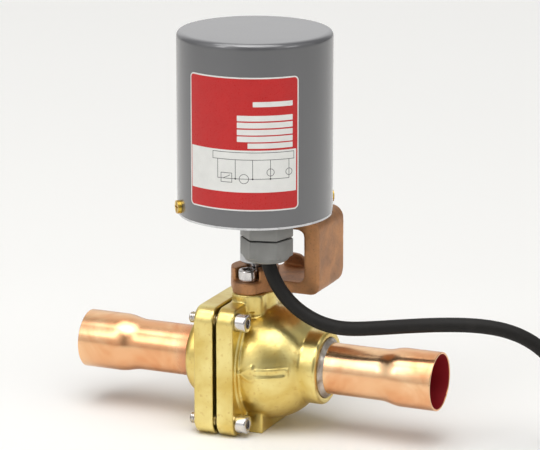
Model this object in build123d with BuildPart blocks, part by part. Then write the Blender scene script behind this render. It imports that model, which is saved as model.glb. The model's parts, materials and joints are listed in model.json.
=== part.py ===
from build123d import *
import math
import os

# Motorized two-piece ball valve with swaged copper tube ends, a bronze
# C-bracket and an electric actuator under a drawn steel cover.
# Origin: on the surface the valve stands on, under the stem axis.
# +X runs along the pipe towards the hub, +Z up the stem, +Y to the back.

os.makedirs("parts", exist_ok=True)

# General fits
running_gap = 0.06
slip_gap = 0.1
ball_gap = 0.3

# Pipe line
pipe_height = 46.0
line_od = 38.1
socket_fit = 0.05
tube_od = 36.0
tube_wall = 1.4
left_mouth = -129.3
right_mouth = 138.3
left_socket_depth = 31.0
right_socket_depth = 29.0
left_taper = 9.5
right_taper = 8.5
swage_blend = 9.0
braze_width = 3.0
braze_spread = 3.2
hub_recess = 2.4
boss_recess = 1.2

# Ball, seats and passage
bore_r = 16.0
ball_r = 25.0
cavity_r = 26.5
cavity_reach = 14.5
seat_r = 22.6
seat_end = 24.0
tube_stop = 30.0

# Flanges of the two castings
flange_size = 92.0
flange_corner = 11.0
cap_left = -26.7
cap_right = -12.2
body_left = -9.6
body_right = 2.9
spigot_r = 31.0
spigot_end = -7.6
spigot_room = 0.6
gasket_r = 37.0
cap_boss_r = 28.0
cap_boss_left = -43.0
edge_soft = 1.6

# Round body, hub, foot and neck
shell_centre = 12.0
shell_r = 40.4
step_r = 43.2
step_height = 1.4
hub_left = 43.4
hub_right = 55.7
hub_r = 26.0
hub_chamfer = 1.4
foot_right = 16.4
foot_width = 50.0
foot_height = 15.0
neck_right = 13.0
neck_half_width = 19.0
neck_corner = 6.0
neck_bottom = 72.0
pad_bottom = 85.5
pad_top = 98.0
pad_left = -11.9
pad_centre_r = 15.8
ear_r = 10.7
ear_pitch = 12.6
arrow_height = 0.8
arrow_line = 1.3
arrow_middle = 0.3
arrow_turn = 3.0
arrow_points = [
    (4.5, 0.0), (15.5, 6.4), (15.5, 3.4), (38.5, 3.4), (38.5, -3.4), (15.5, -3.4), (15.5, -6.4),
]

# Screws
m8_r = 4.0
m8_head_r = 6.5
m8_head = 8.0
m8_hex = 6.0
m8_hex_depth = 4.0
m8_clear_r = 4.5
thread_fit = 0.05
flange_bolt_y = 37.0
flange_bolt_z = 36.5
bolt_stick_out = 6.0
bracket_screw_end = 84.5
m4_r = 2.0
m4_head_r = 3.8
m4_head = 2.4

# Stem and packing
stem_r = 4.5
collar_r = 6.5
collar_bottom = 71.2
collar_top = 75.0
tongue_width = 5.0
tongue_bottom = 65.5
chamber_r = 7.0
chamber_bottom = 81.0
packing_top = 90.0
packing_gland_top = 97.0
stem_top = 127.0
collar_room = 6.9

# Bracket
arm_top = 106.0
arm_front = -4.5
arm_back = 41.5
web_outer = 49.9
web_inner = 38.5
upper_arm_bottom = 143.5
plate_bottom = 152.7
boss_r = 16.8
boss_top = 114.0
boss_bore_r = 6.0
outer_corner = 14.0
top_corner = 7.5
inner_corner = 5.0
arm_back_left = 8.0
pocket_r = 8.6
crease_soft = 1.6
rib_left = 6.0
rib_right = 31.0
rib_top = 114.5
rib_thick = 5.0
upper_boss_r = 15.0
shaft_room_r = 8.0

# Actuator base plate and cover
plate_thick = 1.5
skirt_top = 166.0
skirt_wall = 1.2
cover_r = 54.0
cover_wall = 1.0
plate_r = cover_r - 0.4
skirt_r = cover_r - cover_wall - 0.2
cover_top = 281.3
cover_round = 4.5
cover_screw_z = 160.0
cover_screw_angle = 221.0
cover_screw_r = 2.5
cover_screw_head_r = 4.6
cover_screw_head = 2.6
plate_screw_spots = [(30.0, 14.0), (30.0, 32.0)]

# Rating label on the cover
label_bottom = 166.3
label_top = 258.5
label_middle = -76.4
label_half_angle = 43.0
label_thick = 0.3
label_gap = 0.05

# Cable
cable_r = 5.0
cable_route = [
    (18.6, -22.5, 126.6), (22.5, -22.5, 115.1), (28.6, -22.4, 104.7), (36.8, -22.0, 95.8),
    (46.6, -21.2, 88.8), (57.7, -20.2, 83.9), (69.6, -18.8, 81.5), (81.7, -17.2, 81.6),
    (98.0, -13.2, 83.2), (122.0, -9.4, 86.6), (146.0, -5.6, 89.2), (167.0, 0.0, 89.4),
    (184.8, 6.6, 86.2), (199.6, 14.6, 78.0), (210.8, 22.2, 65.6), (220.4, 27.6, 51.2),
    (231.0, 30.4, 36.6), (244.2, 31.6, 24.0), (259.6, 32.0, 14.4), (276.0, 32.0, 8.0),
    (292.0, 32.0, 5.0),
]
coil_start_r = 51.5
coil_end_r = 41.1
coil_soft = 3.0
core_r = 1.3
core_count = 4
core_pitch = 3.0
core_length = 30.0
core_heading = -45.0
core_slope = 20.0
core_offset = 26.5
core_embed = 2.0

# Cable gland
gland_x = 18.6
gland_y = -22.5
gland_thread_r = 11.25
gland_hex = 32.0
gland_turn = 40.1
gland_washer = 1.2
gland_thread_top = plate_bottom + 7.8
gland_hex_bottom = plate_bottom - gland_washer - 8.9
gland_cap_top = gland_hex_bottom - 1.2
gland_cap_shoulder = gland_cap_top - 13.2
gland_cap_bottom = gland_cap_shoulder - 2.6
gland_cap_mouth_r = 12.8
gland_flare_r = 7.0
gland_flare = 3.0
gland_relief_r = 19.6
locknut_height = 4.5
cable_hole_gap = 0.1

# Drive train inside the cover
coupling_r = 10.5
coupling_bottom = 117.0
coupling_top = 141.0
coupling_pin_r = 1.5
shaft_r = 5.0
shaft_bottom = 127.6
lower_bush_r = 7.9
bush_flange = 1.5
bush_flange_spread = 2.0
axial_gap = 0.5
gear_bottom = 184.0
gear_width = 5.0
motor_plate_bottom = 193.0
motor_plate_thick = 3.0
motor_plate_r = cover_r - 4.0
tooth_module = 1.0
gear_teeth = 52
pinion_teeth = 16
pressure_angle = 20.0
backlash = 0.12
hub_ring_r = 9.0
pinion_shaft_r = 3.0
pinion_shaft_top = 202.0
upper_bush_r = 7.5

# Motor, capacitor and posts
lead_slot_spot = (30.0, -32.0)
lead_slot = (16.0, 9.0)
motor_r = 29.5
motor_offset = 14.0
motor_ear = 35.0
motor_top = 262.0
motor_nose_r = 7.0
capacitor_size = (17.0, 34.0, 44.0)
capacitor_x = 27.5
post_r = 4.0
post_circle = motor_plate_r - post_r
post_angles = [60.0, 135.0, 270.0]

# Limit switches and cams
cam_base_r = 12.0
cam_rise = 2.1
cam_thick = 4.0
open_cam_middle = 167.0
close_cam_middle = 178.0
switch_width = 27.8
switch_depth = 15.9
switch_thick = 10.2
switch_front = 19.5
switch_post_r = 1.5
lever_x = -12.0
lever_y = 17.4
lever_reach = 24.0
lever_thick = 0.5
lever_height = 4.0
lever_pin_r = 1.0
lever_contact = 75.0
cam_gap = 0.4
cam_hub = 2.0

# Terminal block
block_size = (12.0, 36.0, 12.0)
block_x = -38.0
block_y = 0.0
block_poles = 4

pipe_plane = Plane(origin=(0, 0, pipe_height), x_dir=(1, 0, 0), z_dir=(0, -1, 0))
pipe_axis = Axis((0, 0, pipe_height), (1, 0, 0))
socket_r = line_od / 2 + socket_fit
swage_r = socket_r + tube_wall
ears = [(0, -ear_pitch), (0, ear_pitch)]
plate_top = plate_bottom + plate_thick
pinion_distance = tooth_module * (gear_teeth + pinion_teeth) / 2
motor_plate_top = motor_plate_bottom + motor_plate_thick
bush_collar_bottom = motor_plate_bottom - bush_flange
flange_bolts_at = [
    (y, z) for y in (-flange_bolt_y, flange_bolt_y) for z in (-flange_bolt_z, flange_bolt_z)
]


switch_post_spots = [
    (side * 0.4 * switch_width, switch_front + 0.65 * switch_depth) for side in (-1, 1)
]


def lever_angle(cam_r):
    # The strip's angle when it stands just clear of a cam of this radius.
    pivot = math.hypot(lever_x, lever_y)
    clear = cam_r + cam_gap + lever_thick / 2
    return math.degrees(math.atan2(lever_y, lever_x) - math.pi + math.asin(clear / pivot))


def keep(piece, name):
    piece.part.label = name
    export_step(piece.part, f"parts/{name}.step")


def side_plane(x):
    # A plane across the pipe at x, its local x along +Y and local y along +Z.
    return Plane(origin=(x, 0, pipe_height), x_dir=(0, 1, 0), z_dir=(1, 0, 0))


def outward_plane(angle, height):
    # A plane on the stem axis that faces outwards at this angle.
    turn = math.radians(angle)
    return Plane(origin=(0, 0, height), x_dir=(0, 0, 1), z_dir=(math.cos(turn), math.sin(turn), 0))


# Copper tubes: each has a plain end brazed into a casting and a swaged
# socket that takes the line tube.
def copper_tube(name, stop, mouth, socket_depth, taper):
    out = math.copysign(1, mouth)
    shoulder = mouth - out * socket_depth
    neck = shoulder - out * taper
    inner_r = tube_od / 2 - tube_wall
    with BuildPart() as tube:
        with BuildSketch(pipe_plane):
            with BuildLine():
                outside = FilletPolyline(
                    (stop, tube_od / 2), (neck, tube_od / 2), (shoulder, swage_r), (mouth, swage_r),
                    radius=swage_blend,
                )
                inside = FilletPolyline(
                    (stop, inner_r), (neck, inner_r), (shoulder, socket_r), (mouth, socket_r),
                    radius=swage_blend,
                )
                Line(outside @ 0, inside @ 0)
                Line(outside @ 1, inside @ 1)
            make_face()
        revolve(axis=pipe_axis)
    keep(tube, name)


copper_tube("left_tube", -tube_stop, left_mouth, left_socket_depth, left_taper)
copper_tube("right_tube", tube_stop, right_mouth, right_socket_depth, right_taper)


# Silver braze fillets where the tubes enter the castings.
def braze_ring(name, face, out, recess):
    with BuildPart() as braze:
        with BuildSketch(pipe_plane):
            with BuildLine():
                start = (face - out * recess, tube_od / 2)
                root = (face - out * recess, tube_od / 2 + braze_spread)
                rim = (face + out * 0.2, tube_od / 2 + braze_spread)
                crown = (face + out * braze_width * 0.45, tube_od / 2 + braze_spread * 0.45)
                end = (face + out * braze_width, tube_od / 2)
                Polyline(start, root, rim)
                ThreePointArc(rim, crown, end)
                Line(end, start)
            make_face()
        revolve(axis=pipe_axis)
    keep(braze, name)


braze_ring("left_braze", cap_boss_left, -1, boss_recess)
braze_ring("right_braze", hub_right, 1, hub_recess)

# Outlined flow arrow that stands proud of the shell's front.
with BuildPart() as arrow:
    with Locations((shell_centre, 0, pipe_height)):
        Sphere(shell_r + arrow_height)
    with BuildSketch(Plane.XZ):
        with Locations(Location((0, pipe_height + arrow_middle, 0), (0, 0, arrow_turn))):
            Polygon(*arrow_points, align=None)
        offset(amount=-arrow_line, mode=Mode.SUBTRACT)
    extrude(amount=shell_r + 2 * arrow_height, mode=Mode.INTERSECT)

# Body casting: flange, round shell, hub, foot, neck and actuator pad.
with BuildPart() as body:
    add(arrow.part)
    with BuildSketch(side_plane(body_left)):
        RectangleRounded(flange_size, flange_size, flange_corner)
    extrude(amount=body_right - body_left)
    fillet(body.edges().group_by(Axis.X)[-1], edge_soft)
    with BuildSketch(side_plane(body_right)):
        Circle(step_r)
    extrude(amount=step_height, taper=20)
    with BuildSketch(pipe_plane):
        with Locations((shell_centre, 0)):
            Circle(shell_r)
        Rectangle(6 * shell_r, 3 * shell_r, align=(Align.CENTER, Align.MAX), mode=Mode.SUBTRACT)
        with Locations((body_right, 0)):
            Rectangle(2 * shell_r, 3 * shell_r, align=(Align.MAX, Align.CENTER), mode=Mode.SUBTRACT)
    revolve(axis=pipe_axis)
    with BuildSketch(side_plane(shell_centre)):
        Circle(hub_r - 1.2)
    extrude(amount=hub_right - shell_centre - 1)
    with BuildSketch(side_plane(hub_left)):
        Circle(hub_r)
    extrude(amount=hub_right - hub_left)
    chamfer(body.edges().filter_by(GeomType.CIRCLE).group_by(Axis.X)[-1], hub_chamfer)
    with BuildSketch(Plane.XY):
        with Locations(((body_right + foot_right) / 2, 0)):
            Rectangle(foot_right - body_right, foot_width)
    extrude(amount=foot_height)
    with BuildSketch(Plane.XY.offset(neck_bottom)):
        with Locations(((body_left + neck_right) / 2, 0)):
            RectangleRounded(neck_right - body_left, 2 * neck_half_width, neck_corner)
        with Locations(((body_left + body_right) / 2, 0)):
            Rectangle(body_right - body_left, 2 * neck_half_width)
    extrude(amount=pad_top - neck_bottom - 0.5)
    with BuildSketch(Plane.XY.offset(pad_bottom)):
        Circle(pad_centre_r)
        with Locations(*ears):
            Circle(ear_r)
        make_hull()
        with Locations((pad_left, 0)):
            Rectangle(2 * ear_r, 4 * ear_pitch, align=(Align.MAX, Align.CENTER), mode=Mode.SUBTRACT)
    extrude(amount=pad_top - pad_bottom)
    with BuildSketch(pipe_plane):
        with BuildLine():
            Polyline(
                (body_left - 1, 0), (body_left - 1, spigot_r + slip_gap),
                (spigot_end + spigot_room, spigot_r + slip_gap), (spigot_end + spigot_room, cavity_r),
                (cavity_reach, cavity_r), (cavity_reach, seat_r), (seat_end, seat_r),
                (seat_end, bore_r), (tube_stop, bore_r), (tube_stop, tube_od / 2 + thread_fit),
                (hub_right - hub_recess, tube_od / 2 + thread_fit),
                (hub_right - hub_recess, tube_od / 2 + braze_spread),
                (hub_right + 1, tube_od / 2 + braze_spread), (hub_right + 1, 0), close=True,
            )
        make_face()
    revolve(axis=pipe_axis, mode=Mode.SUBTRACT)
    with Locations(side_plane(body_right + step_height)):
        with Locations(*flange_bolts_at):
            Cylinder(m8_clear_r, 4 * flange_corner, mode=Mode.SUBTRACT)
            Cylinder(
                m8_head_r + 0.6, 2 * step_height, mode=Mode.SUBTRACT,
                align=(Align.CENTER, Align.CENTER, Align.CENTER),
            )
    with BuildSketch(Plane.XY.offset(pad_top)):
        Circle(chamber_r)
    extrude(amount=chamber_bottom - pad_top, mode=Mode.SUBTRACT)
    with BuildSketch(Plane.XY.offset(chamber_bottom)):
        Circle(stem_r + running_gap)
    extrude(amount=pipe_height - chamber_bottom, mode=Mode.SUBTRACT)
    with BuildSketch(Plane.XY.offset(collar_top + slip_gap)):
        Circle(collar_room)
    extrude(amount=pipe_height - collar_top, mode=Mode.SUBTRACT)
    with BuildSketch(Plane.XY.offset(pad_top)):
        with Locations(*ears):
            Circle(m8_r + thread_fit)
    extrude(amount=bracket_screw_end - 1 - pad_top, mode=Mode.SUBTRACT)
keep(body, "valve_body")

# End cap casting with its spigot and tube boss.
with BuildPart() as end_cap:
    with BuildSketch(side_plane(cap_left)):
        RectangleRounded(flange_size, flange_size, flange_corner)
    extrude(amount=cap_right - cap_left)
    fillet(end_cap.edges().group_by(Axis.X)[0], edge_soft)
    with BuildSketch(side_plane(cap_boss_left)):
        Circle(cap_boss_r)
    extrude(amount=cap_left - cap_boss_left)
    fillet(end_cap.edges().filter_by(GeomType.CIRCLE).group_by(Axis.X)[0], 3 * edge_soft)
    with BuildSketch(side_plane(cap_right)):
        Circle(spigot_r)
    extrude(amount=spigot_end - cap_right)
    with BuildSketch(pipe_plane):
        with BuildLine():
            Polyline(
                (spigot_end + 1, 0), (spigot_end + 1, cavity_r), (-cavity_reach, cavity_r),
                (-cavity_reach, seat_r), (-seat_end, seat_r), (-seat_end, bore_r),
                (-tube_stop, bore_r), (-tube_stop, tube_od / 2 + thread_fit),
                (cap_boss_left + boss_recess, tube_od / 2 + thread_fit),
                (cap_boss_left + boss_recess, tube_od / 2 + braze_spread),
                (cap_boss_left - 1, tube_od / 2 + braze_spread), (cap_boss_left - 1, 0), close=True,
            )
        make_face()
    revolve(axis=pipe_axis, mode=Mode.SUBTRACT)
    with Locations(side_plane(cap_right)):
        with Locations(*flange_bolts_at):
            Cylinder(m8_r + thread_fit, 4 * flange_corner, mode=Mode.SUBTRACT)
keep(end_cap, "end_cap")

# Flat joint ring between the two flanges.
with BuildPart() as joint_ring:
    with BuildSketch(side_plane(cap_right)):
        Circle(gasket_r)
        Circle(spigot_r + slip_gap, mode=Mode.SUBTRACT)
    extrude(amount=body_left - cap_right)
keep(joint_ring, "body_gasket")


# Socket head screw with its head on the plane's positive side.
def socket_screws(name, plane, spots, length):
    with BuildPart() as screws:
        with BuildSketch(plane):
            with Locations(*spots):
                Circle(m8_head_r)
        extrude(amount=m8_head)
        heads = screws.edges().filter_by(GeomType.CIRCLE).sort_by(Axis(plane.origin, plane.z_dir))
        chamfer(heads[-len(spots):], 0.5)
        with BuildSketch(plane):
            with Locations(*spots):
                Circle(m8_r)
        extrude(amount=-length)
        with BuildSketch(plane.offset(m8_head)):
            with Locations(*spots):
                RegularPolygon(m8_hex / 2, 6, major_radius=False)
        extrude(amount=-m8_hex_depth, mode=Mode.SUBTRACT)
    keep(screws, name)


socket_screws("flange_bolts", side_plane(body_right), flange_bolts_at, body_right - cap_left + bolt_stick_out)
socket_screws("bracket_screws", Plane.XY.offset(arm_top), ears, arm_top - bracket_screw_end)


# Seat rings: turned, with a ball-shaped face.
def seat_ring(name, side):
    with BuildPart() as seat:
        with BuildSketch(pipe_plane):
            with Locations((side * (cavity_reach + seat_end) / 2, (bore_r + seat_r) / 2)):
                Rectangle(seat_end - cavity_reach, seat_r - bore_r)
            Circle(ball_r + ball_gap, mode=Mode.SUBTRACT)
        revolve(axis=pipe_axis)
    keep(seat, name)


seat_ring("left_seat", -1)
seat_ring("right_seat", 1)

# Ball with its bore and the slot that takes the stem's tongue.
with BuildPart() as ball:
    with Locations((0, 0, pipe_height)):
        Sphere(ball_r)
        Cylinder(bore_r, 3 * ball_r, rotation=(0, 90, 0), mode=Mode.SUBTRACT)
    with BuildSketch(Plane.XY.offset(tongue_bottom - slip_gap)):
        Rectangle(tongue_width + 2 * slip_gap, 2 * ball_r)
    extrude(amount=ball_r, mode=Mode.SUBTRACT)
keep(ball, "valve_ball")

# Stem: tongue, collar, shaft and two flats at the top.
with BuildPart() as stem:
    with BuildSketch(Plane.XY.offset(collar_bottom)):
        Circle(collar_r)
    extrude(amount=collar_top - collar_bottom)
    with BuildSketch(Plane.XY.offset(collar_top)):
        Circle(stem_r)
    extrude(amount=stem_top - collar_top)
    with BuildSketch(Plane.XY.offset(tongue_bottom)):
        Circle(collar_r)
        Rectangle(tongue_width, 4 * collar_r, mode=Mode.INTERSECT)
    extrude(amount=collar_bottom - tongue_bottom)
    with BuildSketch(Plane.XY.offset(coupling_bottom + 1)):
        Circle(2 * stem_r)
        Rectangle(4 * stem_r, 1.5 * stem_r, mode=Mode.SUBTRACT)
    extrude(amount=stem_top - coupling_bottom, mode=Mode.SUBTRACT)
    chamfer(stem.edges().group_by(Axis.Z)[-1], 0.5)
keep(stem, "stem")

# Packing rings as one pressed stack, and the screwed gland that holds them.
with BuildPart() as packing:
    with BuildSketch(Plane.XY.offset(chamber_bottom)):
        Circle(chamber_r)
        Circle(stem_r + running_gap, mode=Mode.SUBTRACT)
    extrude(amount=packing_top - chamber_bottom)
keep(packing, "stem_packing")

with BuildPart() as packing_gland:
    with BuildSketch(Plane.XY.offset(packing_top)):
        Circle(chamber_r)
        Circle(stem_r + 2 * running_gap, mode=Mode.SUBTRACT)
    extrude(amount=packing_gland_top - packing_top)
    with BuildSketch(Plane.XY.offset(packing_gland_top)):
        Rectangle(4 * chamber_r, 1.8)
    extrude(amount=-2, mode=Mode.SUBTRACT)
keep(packing_gland, "packing_gland")

# C-bracket: one casting, two arms joined by a web at the hub side.
with BuildPart() as bracket:
    with BuildSketch(Plane.XZ.offset(-arm_back)) as c_profile:
        with BuildLine():
            Polyline(
                (-boss_r, pad_top), (web_outer, pad_top), (web_outer, plate_bottom), (-boss_r, plate_bottom),
                (-boss_r, upper_arm_bottom), (web_inner, upper_arm_bottom), (web_inner, arm_top),
                (-boss_r, arm_top), close=True,
            )
        make_face()
        fillet(c_profile.vertices().group_by(Axis.X)[-1].sort_by(Axis.Y)[0], outer_corner)
        fillet(c_profile.vertices().sort_by(Axis.X)[-1:], top_corner)
        fillet(c_profile.vertices().filter_by_position(Axis.X, web_inner - 0.1, web_inner + 0.1), inner_corner)
    extrude(amount=arm_back - arm_front)
    with BuildSketch(Plane.XY.offset(pad_top)):
        with BuildLine():
            Polyline(
                (-boss_r, arm_front), (web_outer, arm_front), (web_outer, arm_back),
                (arm_back_left, arm_back), (-boss_r, boss_r / 2), close=True,
            )
        make_face()
    extrude(amount=plate_bottom - pad_top, mode=Mode.INTERSECT)
    with BuildSketch(Plane.XY.offset(upper_arm_bottom)):
        Circle(upper_boss_r)
    extrude(amount=plate_bottom - upper_arm_bottom)
    with BuildSketch(Plane.XY.offset(pad_top)):
        Circle(boss_r)
    extrude(amount=boss_top - pad_top)
    with BuildSketch(Plane.XY.offset(pad_top)):
        Circle(pad_centre_r)
        with Locations(*ears):
            Circle(ear_r)
        make_hull()
    extrude(amount=arm_top - pad_top)
    with BuildSketch(Plane.XZ.offset(-arm_back)):
        with BuildLine():
            FilletPolyline(
                (rib_left, arm_top - 1), (rib_left, rib_top), (rib_right, rib_top), (rib_right, arm_top - 1),
                radius=0.5 * (rib_top - arm_top), close=False,
            )
            Line((rib_left, arm_top - 1), (rib_right, arm_top - 1))
        make_face()
    extrude(amount=rib_thick)
    for side, spot in ((-1, ears[0]), (1, ears[1])):
        with BuildSketch(Plane.XY.offset(arm_top)):
            with Locations(spot):
                Circle(pocket_r)
                Rectangle(2 * pocket_r, boss_r, align=(Align.CENTER, Align.MAX if side < 0 else Align.MIN))
        extrude(amount=boss_top - arm_top, mode=Mode.SUBTRACT)
    with BuildSketch(Plane.XY.offset(pad_top)):
        with Locations(*ears):
            Circle(m8_clear_r)
    extrude(amount=arm_top - pad_top, mode=Mode.SUBTRACT)
    with BuildSketch(Plane.XY.offset(pad_top)):
        Circle(boss_bore_r)
    extrude(amount=boss_top - pad_top, mode=Mode.SUBTRACT)
    with BuildSketch(Plane.XY.offset(upper_arm_bottom - 1)):
        with Locations((gland_x, gland_y)):
            Circle(gland_relief_r)
    extrude(amount=plate_bottom - upper_arm_bottom + 1, mode=Mode.SUBTRACT)
    with BuildSketch(Plane.XY.offset(upper_arm_bottom - 1)):
        Circle(shaft_room_r)
    extrude(amount=plate_bottom - upper_arm_bottom + 1, mode=Mode.SUBTRACT)
    with BuildSketch(Plane.XY.offset(plate_bottom)):
        with Locations(*plate_screw_spots):
            Circle(m4_r + thread_fit)
    extrude(amount=upper_arm_bottom - plate_bottom + 2, mode=Mode.SUBTRACT)
keep(bracket, "bracket")

# Actuator base plate: a pressed dish with an upturned skirt for the cover.
with BuildPart() as base_plate:
    with BuildSketch(Plane.XY.offset(plate_bottom)):
        Circle(plate_r)
    extrude(amount=plate_thick)
    with BuildSketch(Plane.XY.offset(plate_top)):
        Circle(skirt_r)
        Circle(skirt_r - skirt_wall, mode=Mode.SUBTRACT)
    extrude(amount=skirt_top - plate_top)
    with BuildSketch(Plane.XY.offset(plate_bottom)):
        Circle(lower_bush_r + slip_gap)
        with Locations((gland_x, gland_y)):
            Circle(gland_thread_r + slip_gap)
        with Locations(*plate_screw_spots):
            Circle(m4_r + slip_gap)
    extrude(amount=plate_thick, mode=Mode.SUBTRACT)
    for angle in (cover_screw_angle, cover_screw_angle - 180):
        with Locations(outward_plane(angle, cover_screw_z)):
            Cylinder(
                cover_screw_r + thread_fit, 2 * cover_r, mode=Mode.SUBTRACT,
                align=(Align.CENTER, Align.CENTER, Align.MIN),
            )
keep(base_plate, "base_plate")

# Drawn steel cover.
with BuildPart() as cover:
    with BuildSketch(Plane.XY.offset(plate_top)):
        Circle(cover_r)
    extrude(amount=cover_top - plate_top)
    fillet(cover.edges().group_by(Axis.Z)[-1], cover_round)
    offset(amount=-cover_wall, openings=cover.faces().sort_by(Axis.Z)[0])
    for angle in (cover_screw_angle, cover_screw_angle - 180):
        with Locations(outward_plane(angle, cover_screw_z)):
            Cylinder(
                cover_screw_r + slip_gap, 2 * cover_r, mode=Mode.SUBTRACT,
                align=(Align.CENTER, Align.CENTER, Align.MIN),
            )
keep(cover, "motor_cover")

# Pan head screws through the cover into the skirt.
with BuildPart() as cover_screws:
    for angle in (cover_screw_angle, cover_screw_angle - 180):
        out = outward_plane(angle, cover_screw_z)
        with BuildSketch(out.offset(skirt_r - 2 * skirt_wall)):
            Circle(cover_screw_r)
        extrude(amount=cover_r + 0.6 + 2 * skirt_wall - skirt_r)
        with BuildSketch(out.offset(cover_r)):
            Circle(cover_screw_head_r)
        extrude(amount=cover_screw_head)
        with Locations(out.offset(cover_r + cover_screw_head)):
            Box(1.2, 1.5 * cover_screw_head_r, 1.6, mode=Mode.SUBTRACT)
            Box(1.5 * cover_screw_head_r, 1.2, 1.6, mode=Mode.SUBTRACT)
keep(cover_screws, "cover_screws")

# Label: a thin curved plate on the cover's front.
with BuildPart() as label:
    with BuildSketch(Plane.XY.offset(label_bottom)):
        with BuildLine():
            first = label_middle - label_half_angle
            back_r = cover_r + label_gap
            CenterArc((0, 0), back_r, first, 2 * label_half_angle)
            CenterArc((0, 0), back_r + label_thick, first, 2 * label_half_angle)
            for angle in (first, first + 2 * label_half_angle):
                turn = math.radians(angle)
                Line(
                    (back_r * math.cos(turn), back_r * math.sin(turn)),
                    ((back_r + label_thick) * math.cos(turn), (back_r + label_thick) * math.sin(turn)),
                )
        make_face()
    extrude(amount=label_top - label_bottom)
keep(label, "rating_label")


# Small pan head screws that hold the base plate to the bracket.
with BuildPart() as plate_screws:
    with BuildSketch(Plane.XY.offset(plate_top)):
        with Locations(*plate_screw_spots):
            Circle(m4_head_r)
    extrude(amount=m4_head)
    with BuildSketch(Plane.XY.offset(plate_top)):
        with Locations(*plate_screw_spots):
            Circle(m4_r)
    extrude(amount=upper_arm_bottom - plate_top + 2)
    with Locations(*[(x, y, plate_top + m4_head) for x, y in plate_screw_spots]):
        Box(2 * m4_head_r, 1.0, 2.0, mode=Mode.SUBTRACT)
keep(plate_screws, "plate_screws")

# Cable gland: body with hexagon, sealing washer, rubber, cap nut and lock nut.
gland_spot = (gland_x, gland_y)
body_hex_top = plate_bottom - gland_washer


def gland_disc(name, bottom, top, outer, inner):
    with BuildPart() as disc:
        with BuildSketch(Plane.XY.offset(bottom)):
            with Locations(gland_spot):
                Circle(outer)
                Circle(inner, mode=Mode.SUBTRACT)
        extrude(amount=top - bottom)
    keep(disc, name)


with BuildPart() as gland_body:
    with BuildSketch(Plane.XY.offset(gland_hex_bottom)):
        with Locations(gland_spot):
            RegularPolygon(gland_hex / 2, 6, major_radius=False, rotation=gland_turn)
    extrude(amount=body_hex_top - gland_hex_bottom)
    with BuildSketch(Plane.XY.offset(body_hex_top)):
        with Locations(gland_spot):
            Circle(gland_thread_r)
    extrude(amount=gland_thread_top - body_hex_top)
    with BuildSketch(Plane.XY.offset(gland_hex_bottom)):
        with Locations(gland_spot):
            Circle(cable_r + 2)
    extrude(amount=gland_thread_top - gland_hex_bottom, mode=Mode.SUBTRACT)
keep(gland_body, "gland_body")
gland_disc("gland_washer", body_hex_top, plate_bottom, gland_hex / 2 - 1.5, gland_thread_r + slip_gap)
gland_disc("gland_seal", gland_cap_top, gland_hex_bottom, gland_hex / 2 - 1.0, cable_r + cable_hole_gap)

with BuildPart() as gland_cap:
    with BuildSketch(Plane.XY.offset(gland_cap_shoulder)):
        with Locations(gland_spot):
            RegularPolygon(gland_hex / 2, 6, major_radius=False, rotation=gland_turn)
    extrude(amount=gland_cap_top - gland_cap_shoulder)
    with BuildSketch(Plane.XZ.offset(-gland_y)):
        with BuildLine():
            mouth = (gland_x + gland_cap_mouth_r, gland_cap_bottom)
            shoulder = (gland_x + gland_hex / 2 - 0.4, gland_cap_shoulder)
            Line((gland_x, gland_cap_bottom), mouth)
            RadiusArc(mouth, shoulder, -1.6 * (gland_cap_shoulder - gland_cap_bottom))
            Line(shoulder, (gland_x, gland_cap_shoulder))
            Line((gland_x, gland_cap_shoulder), (gland_x, gland_cap_bottom))
        make_face()
    revolve(axis=Axis((gland_x, gland_y, 0), (0, 0, 1)))
    with BuildSketch(Plane.XY.offset(gland_cap_bottom)):
        with Locations(gland_spot):
            Circle(cable_r + cable_hole_gap)
    extrude(amount=gland_cap_top - gland_cap_bottom, mode=Mode.SUBTRACT)
    with Locations((gland_x, gland_y, gland_cap_bottom)):
        Cone(
            gland_flare_r, cable_r + cable_hole_gap, gland_flare, mode=Mode.SUBTRACT,
            align=(Align.CENTER, Align.CENTER, Align.MIN),
        )
keep(gland_cap, "gland_cap")

with BuildPart() as locknut:
    with BuildSketch(Plane.XY.offset(plate_top)):
        with Locations(gland_spot):
            RegularPolygon(gland_hex / 2, 6, major_radius=False, rotation=gland_turn)
            Circle(gland_thread_r + slip_gap, mode=Mode.SUBTRACT)
    extrude(amount=locknut_height)
keep(locknut, "gland_locknut")

# Coupling sleeve between the stem and the actuator's output shaft.
with BuildPart() as coupling:
    with BuildSketch(Plane.XY.offset(coupling_bottom)):
        Circle(coupling_r)
    extrude(amount=coupling_top - coupling_bottom)
    chamfer(coupling.edges().group_by(Axis.Z)[0] + coupling.edges().group_by(Axis.Z)[-1], 0.8)
    with BuildSketch(Plane.XY.offset(coupling_bottom)):
        Circle(stem_r + slip_gap)
    extrude(amount=coupling_top - coupling_bottom, mode=Mode.SUBTRACT)
    with BuildSketch(Plane.XY.offset(shaft_bottom - 0.2)):
        Circle(shaft_r + slip_gap)
    extrude(amount=coupling_top - shaft_bottom + 0.2, mode=Mode.SUBTRACT)
    pin_heights = (coupling_bottom + 5, coupling_top - 6)
    for height in pin_heights:
        with Locations((0, 0, height)):
            Cylinder(coupling_pin_r + thread_fit, 3 * coupling_r, rotation=(90, 0, 0), mode=Mode.SUBTRACT)
keep(coupling, "stem_coupling")

# Cross pins through the coupling: each is a pair of set pins beside the shaft.
with BuildPart() as set_pins:
    for height, shaft in zip(pin_heights, (stem_r, shaft_r)):
        for side in (-1, 1):
            with BuildSketch(Plane.XZ.offset(side * (shaft + slip_gap))):
                with Locations((0, height)):
                    Circle(coupling_pin_r)
            extrude(amount=side * (coupling_r - shaft - 3 * slip_gap))
keep(set_pins, "coupling_set_pins")


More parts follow.
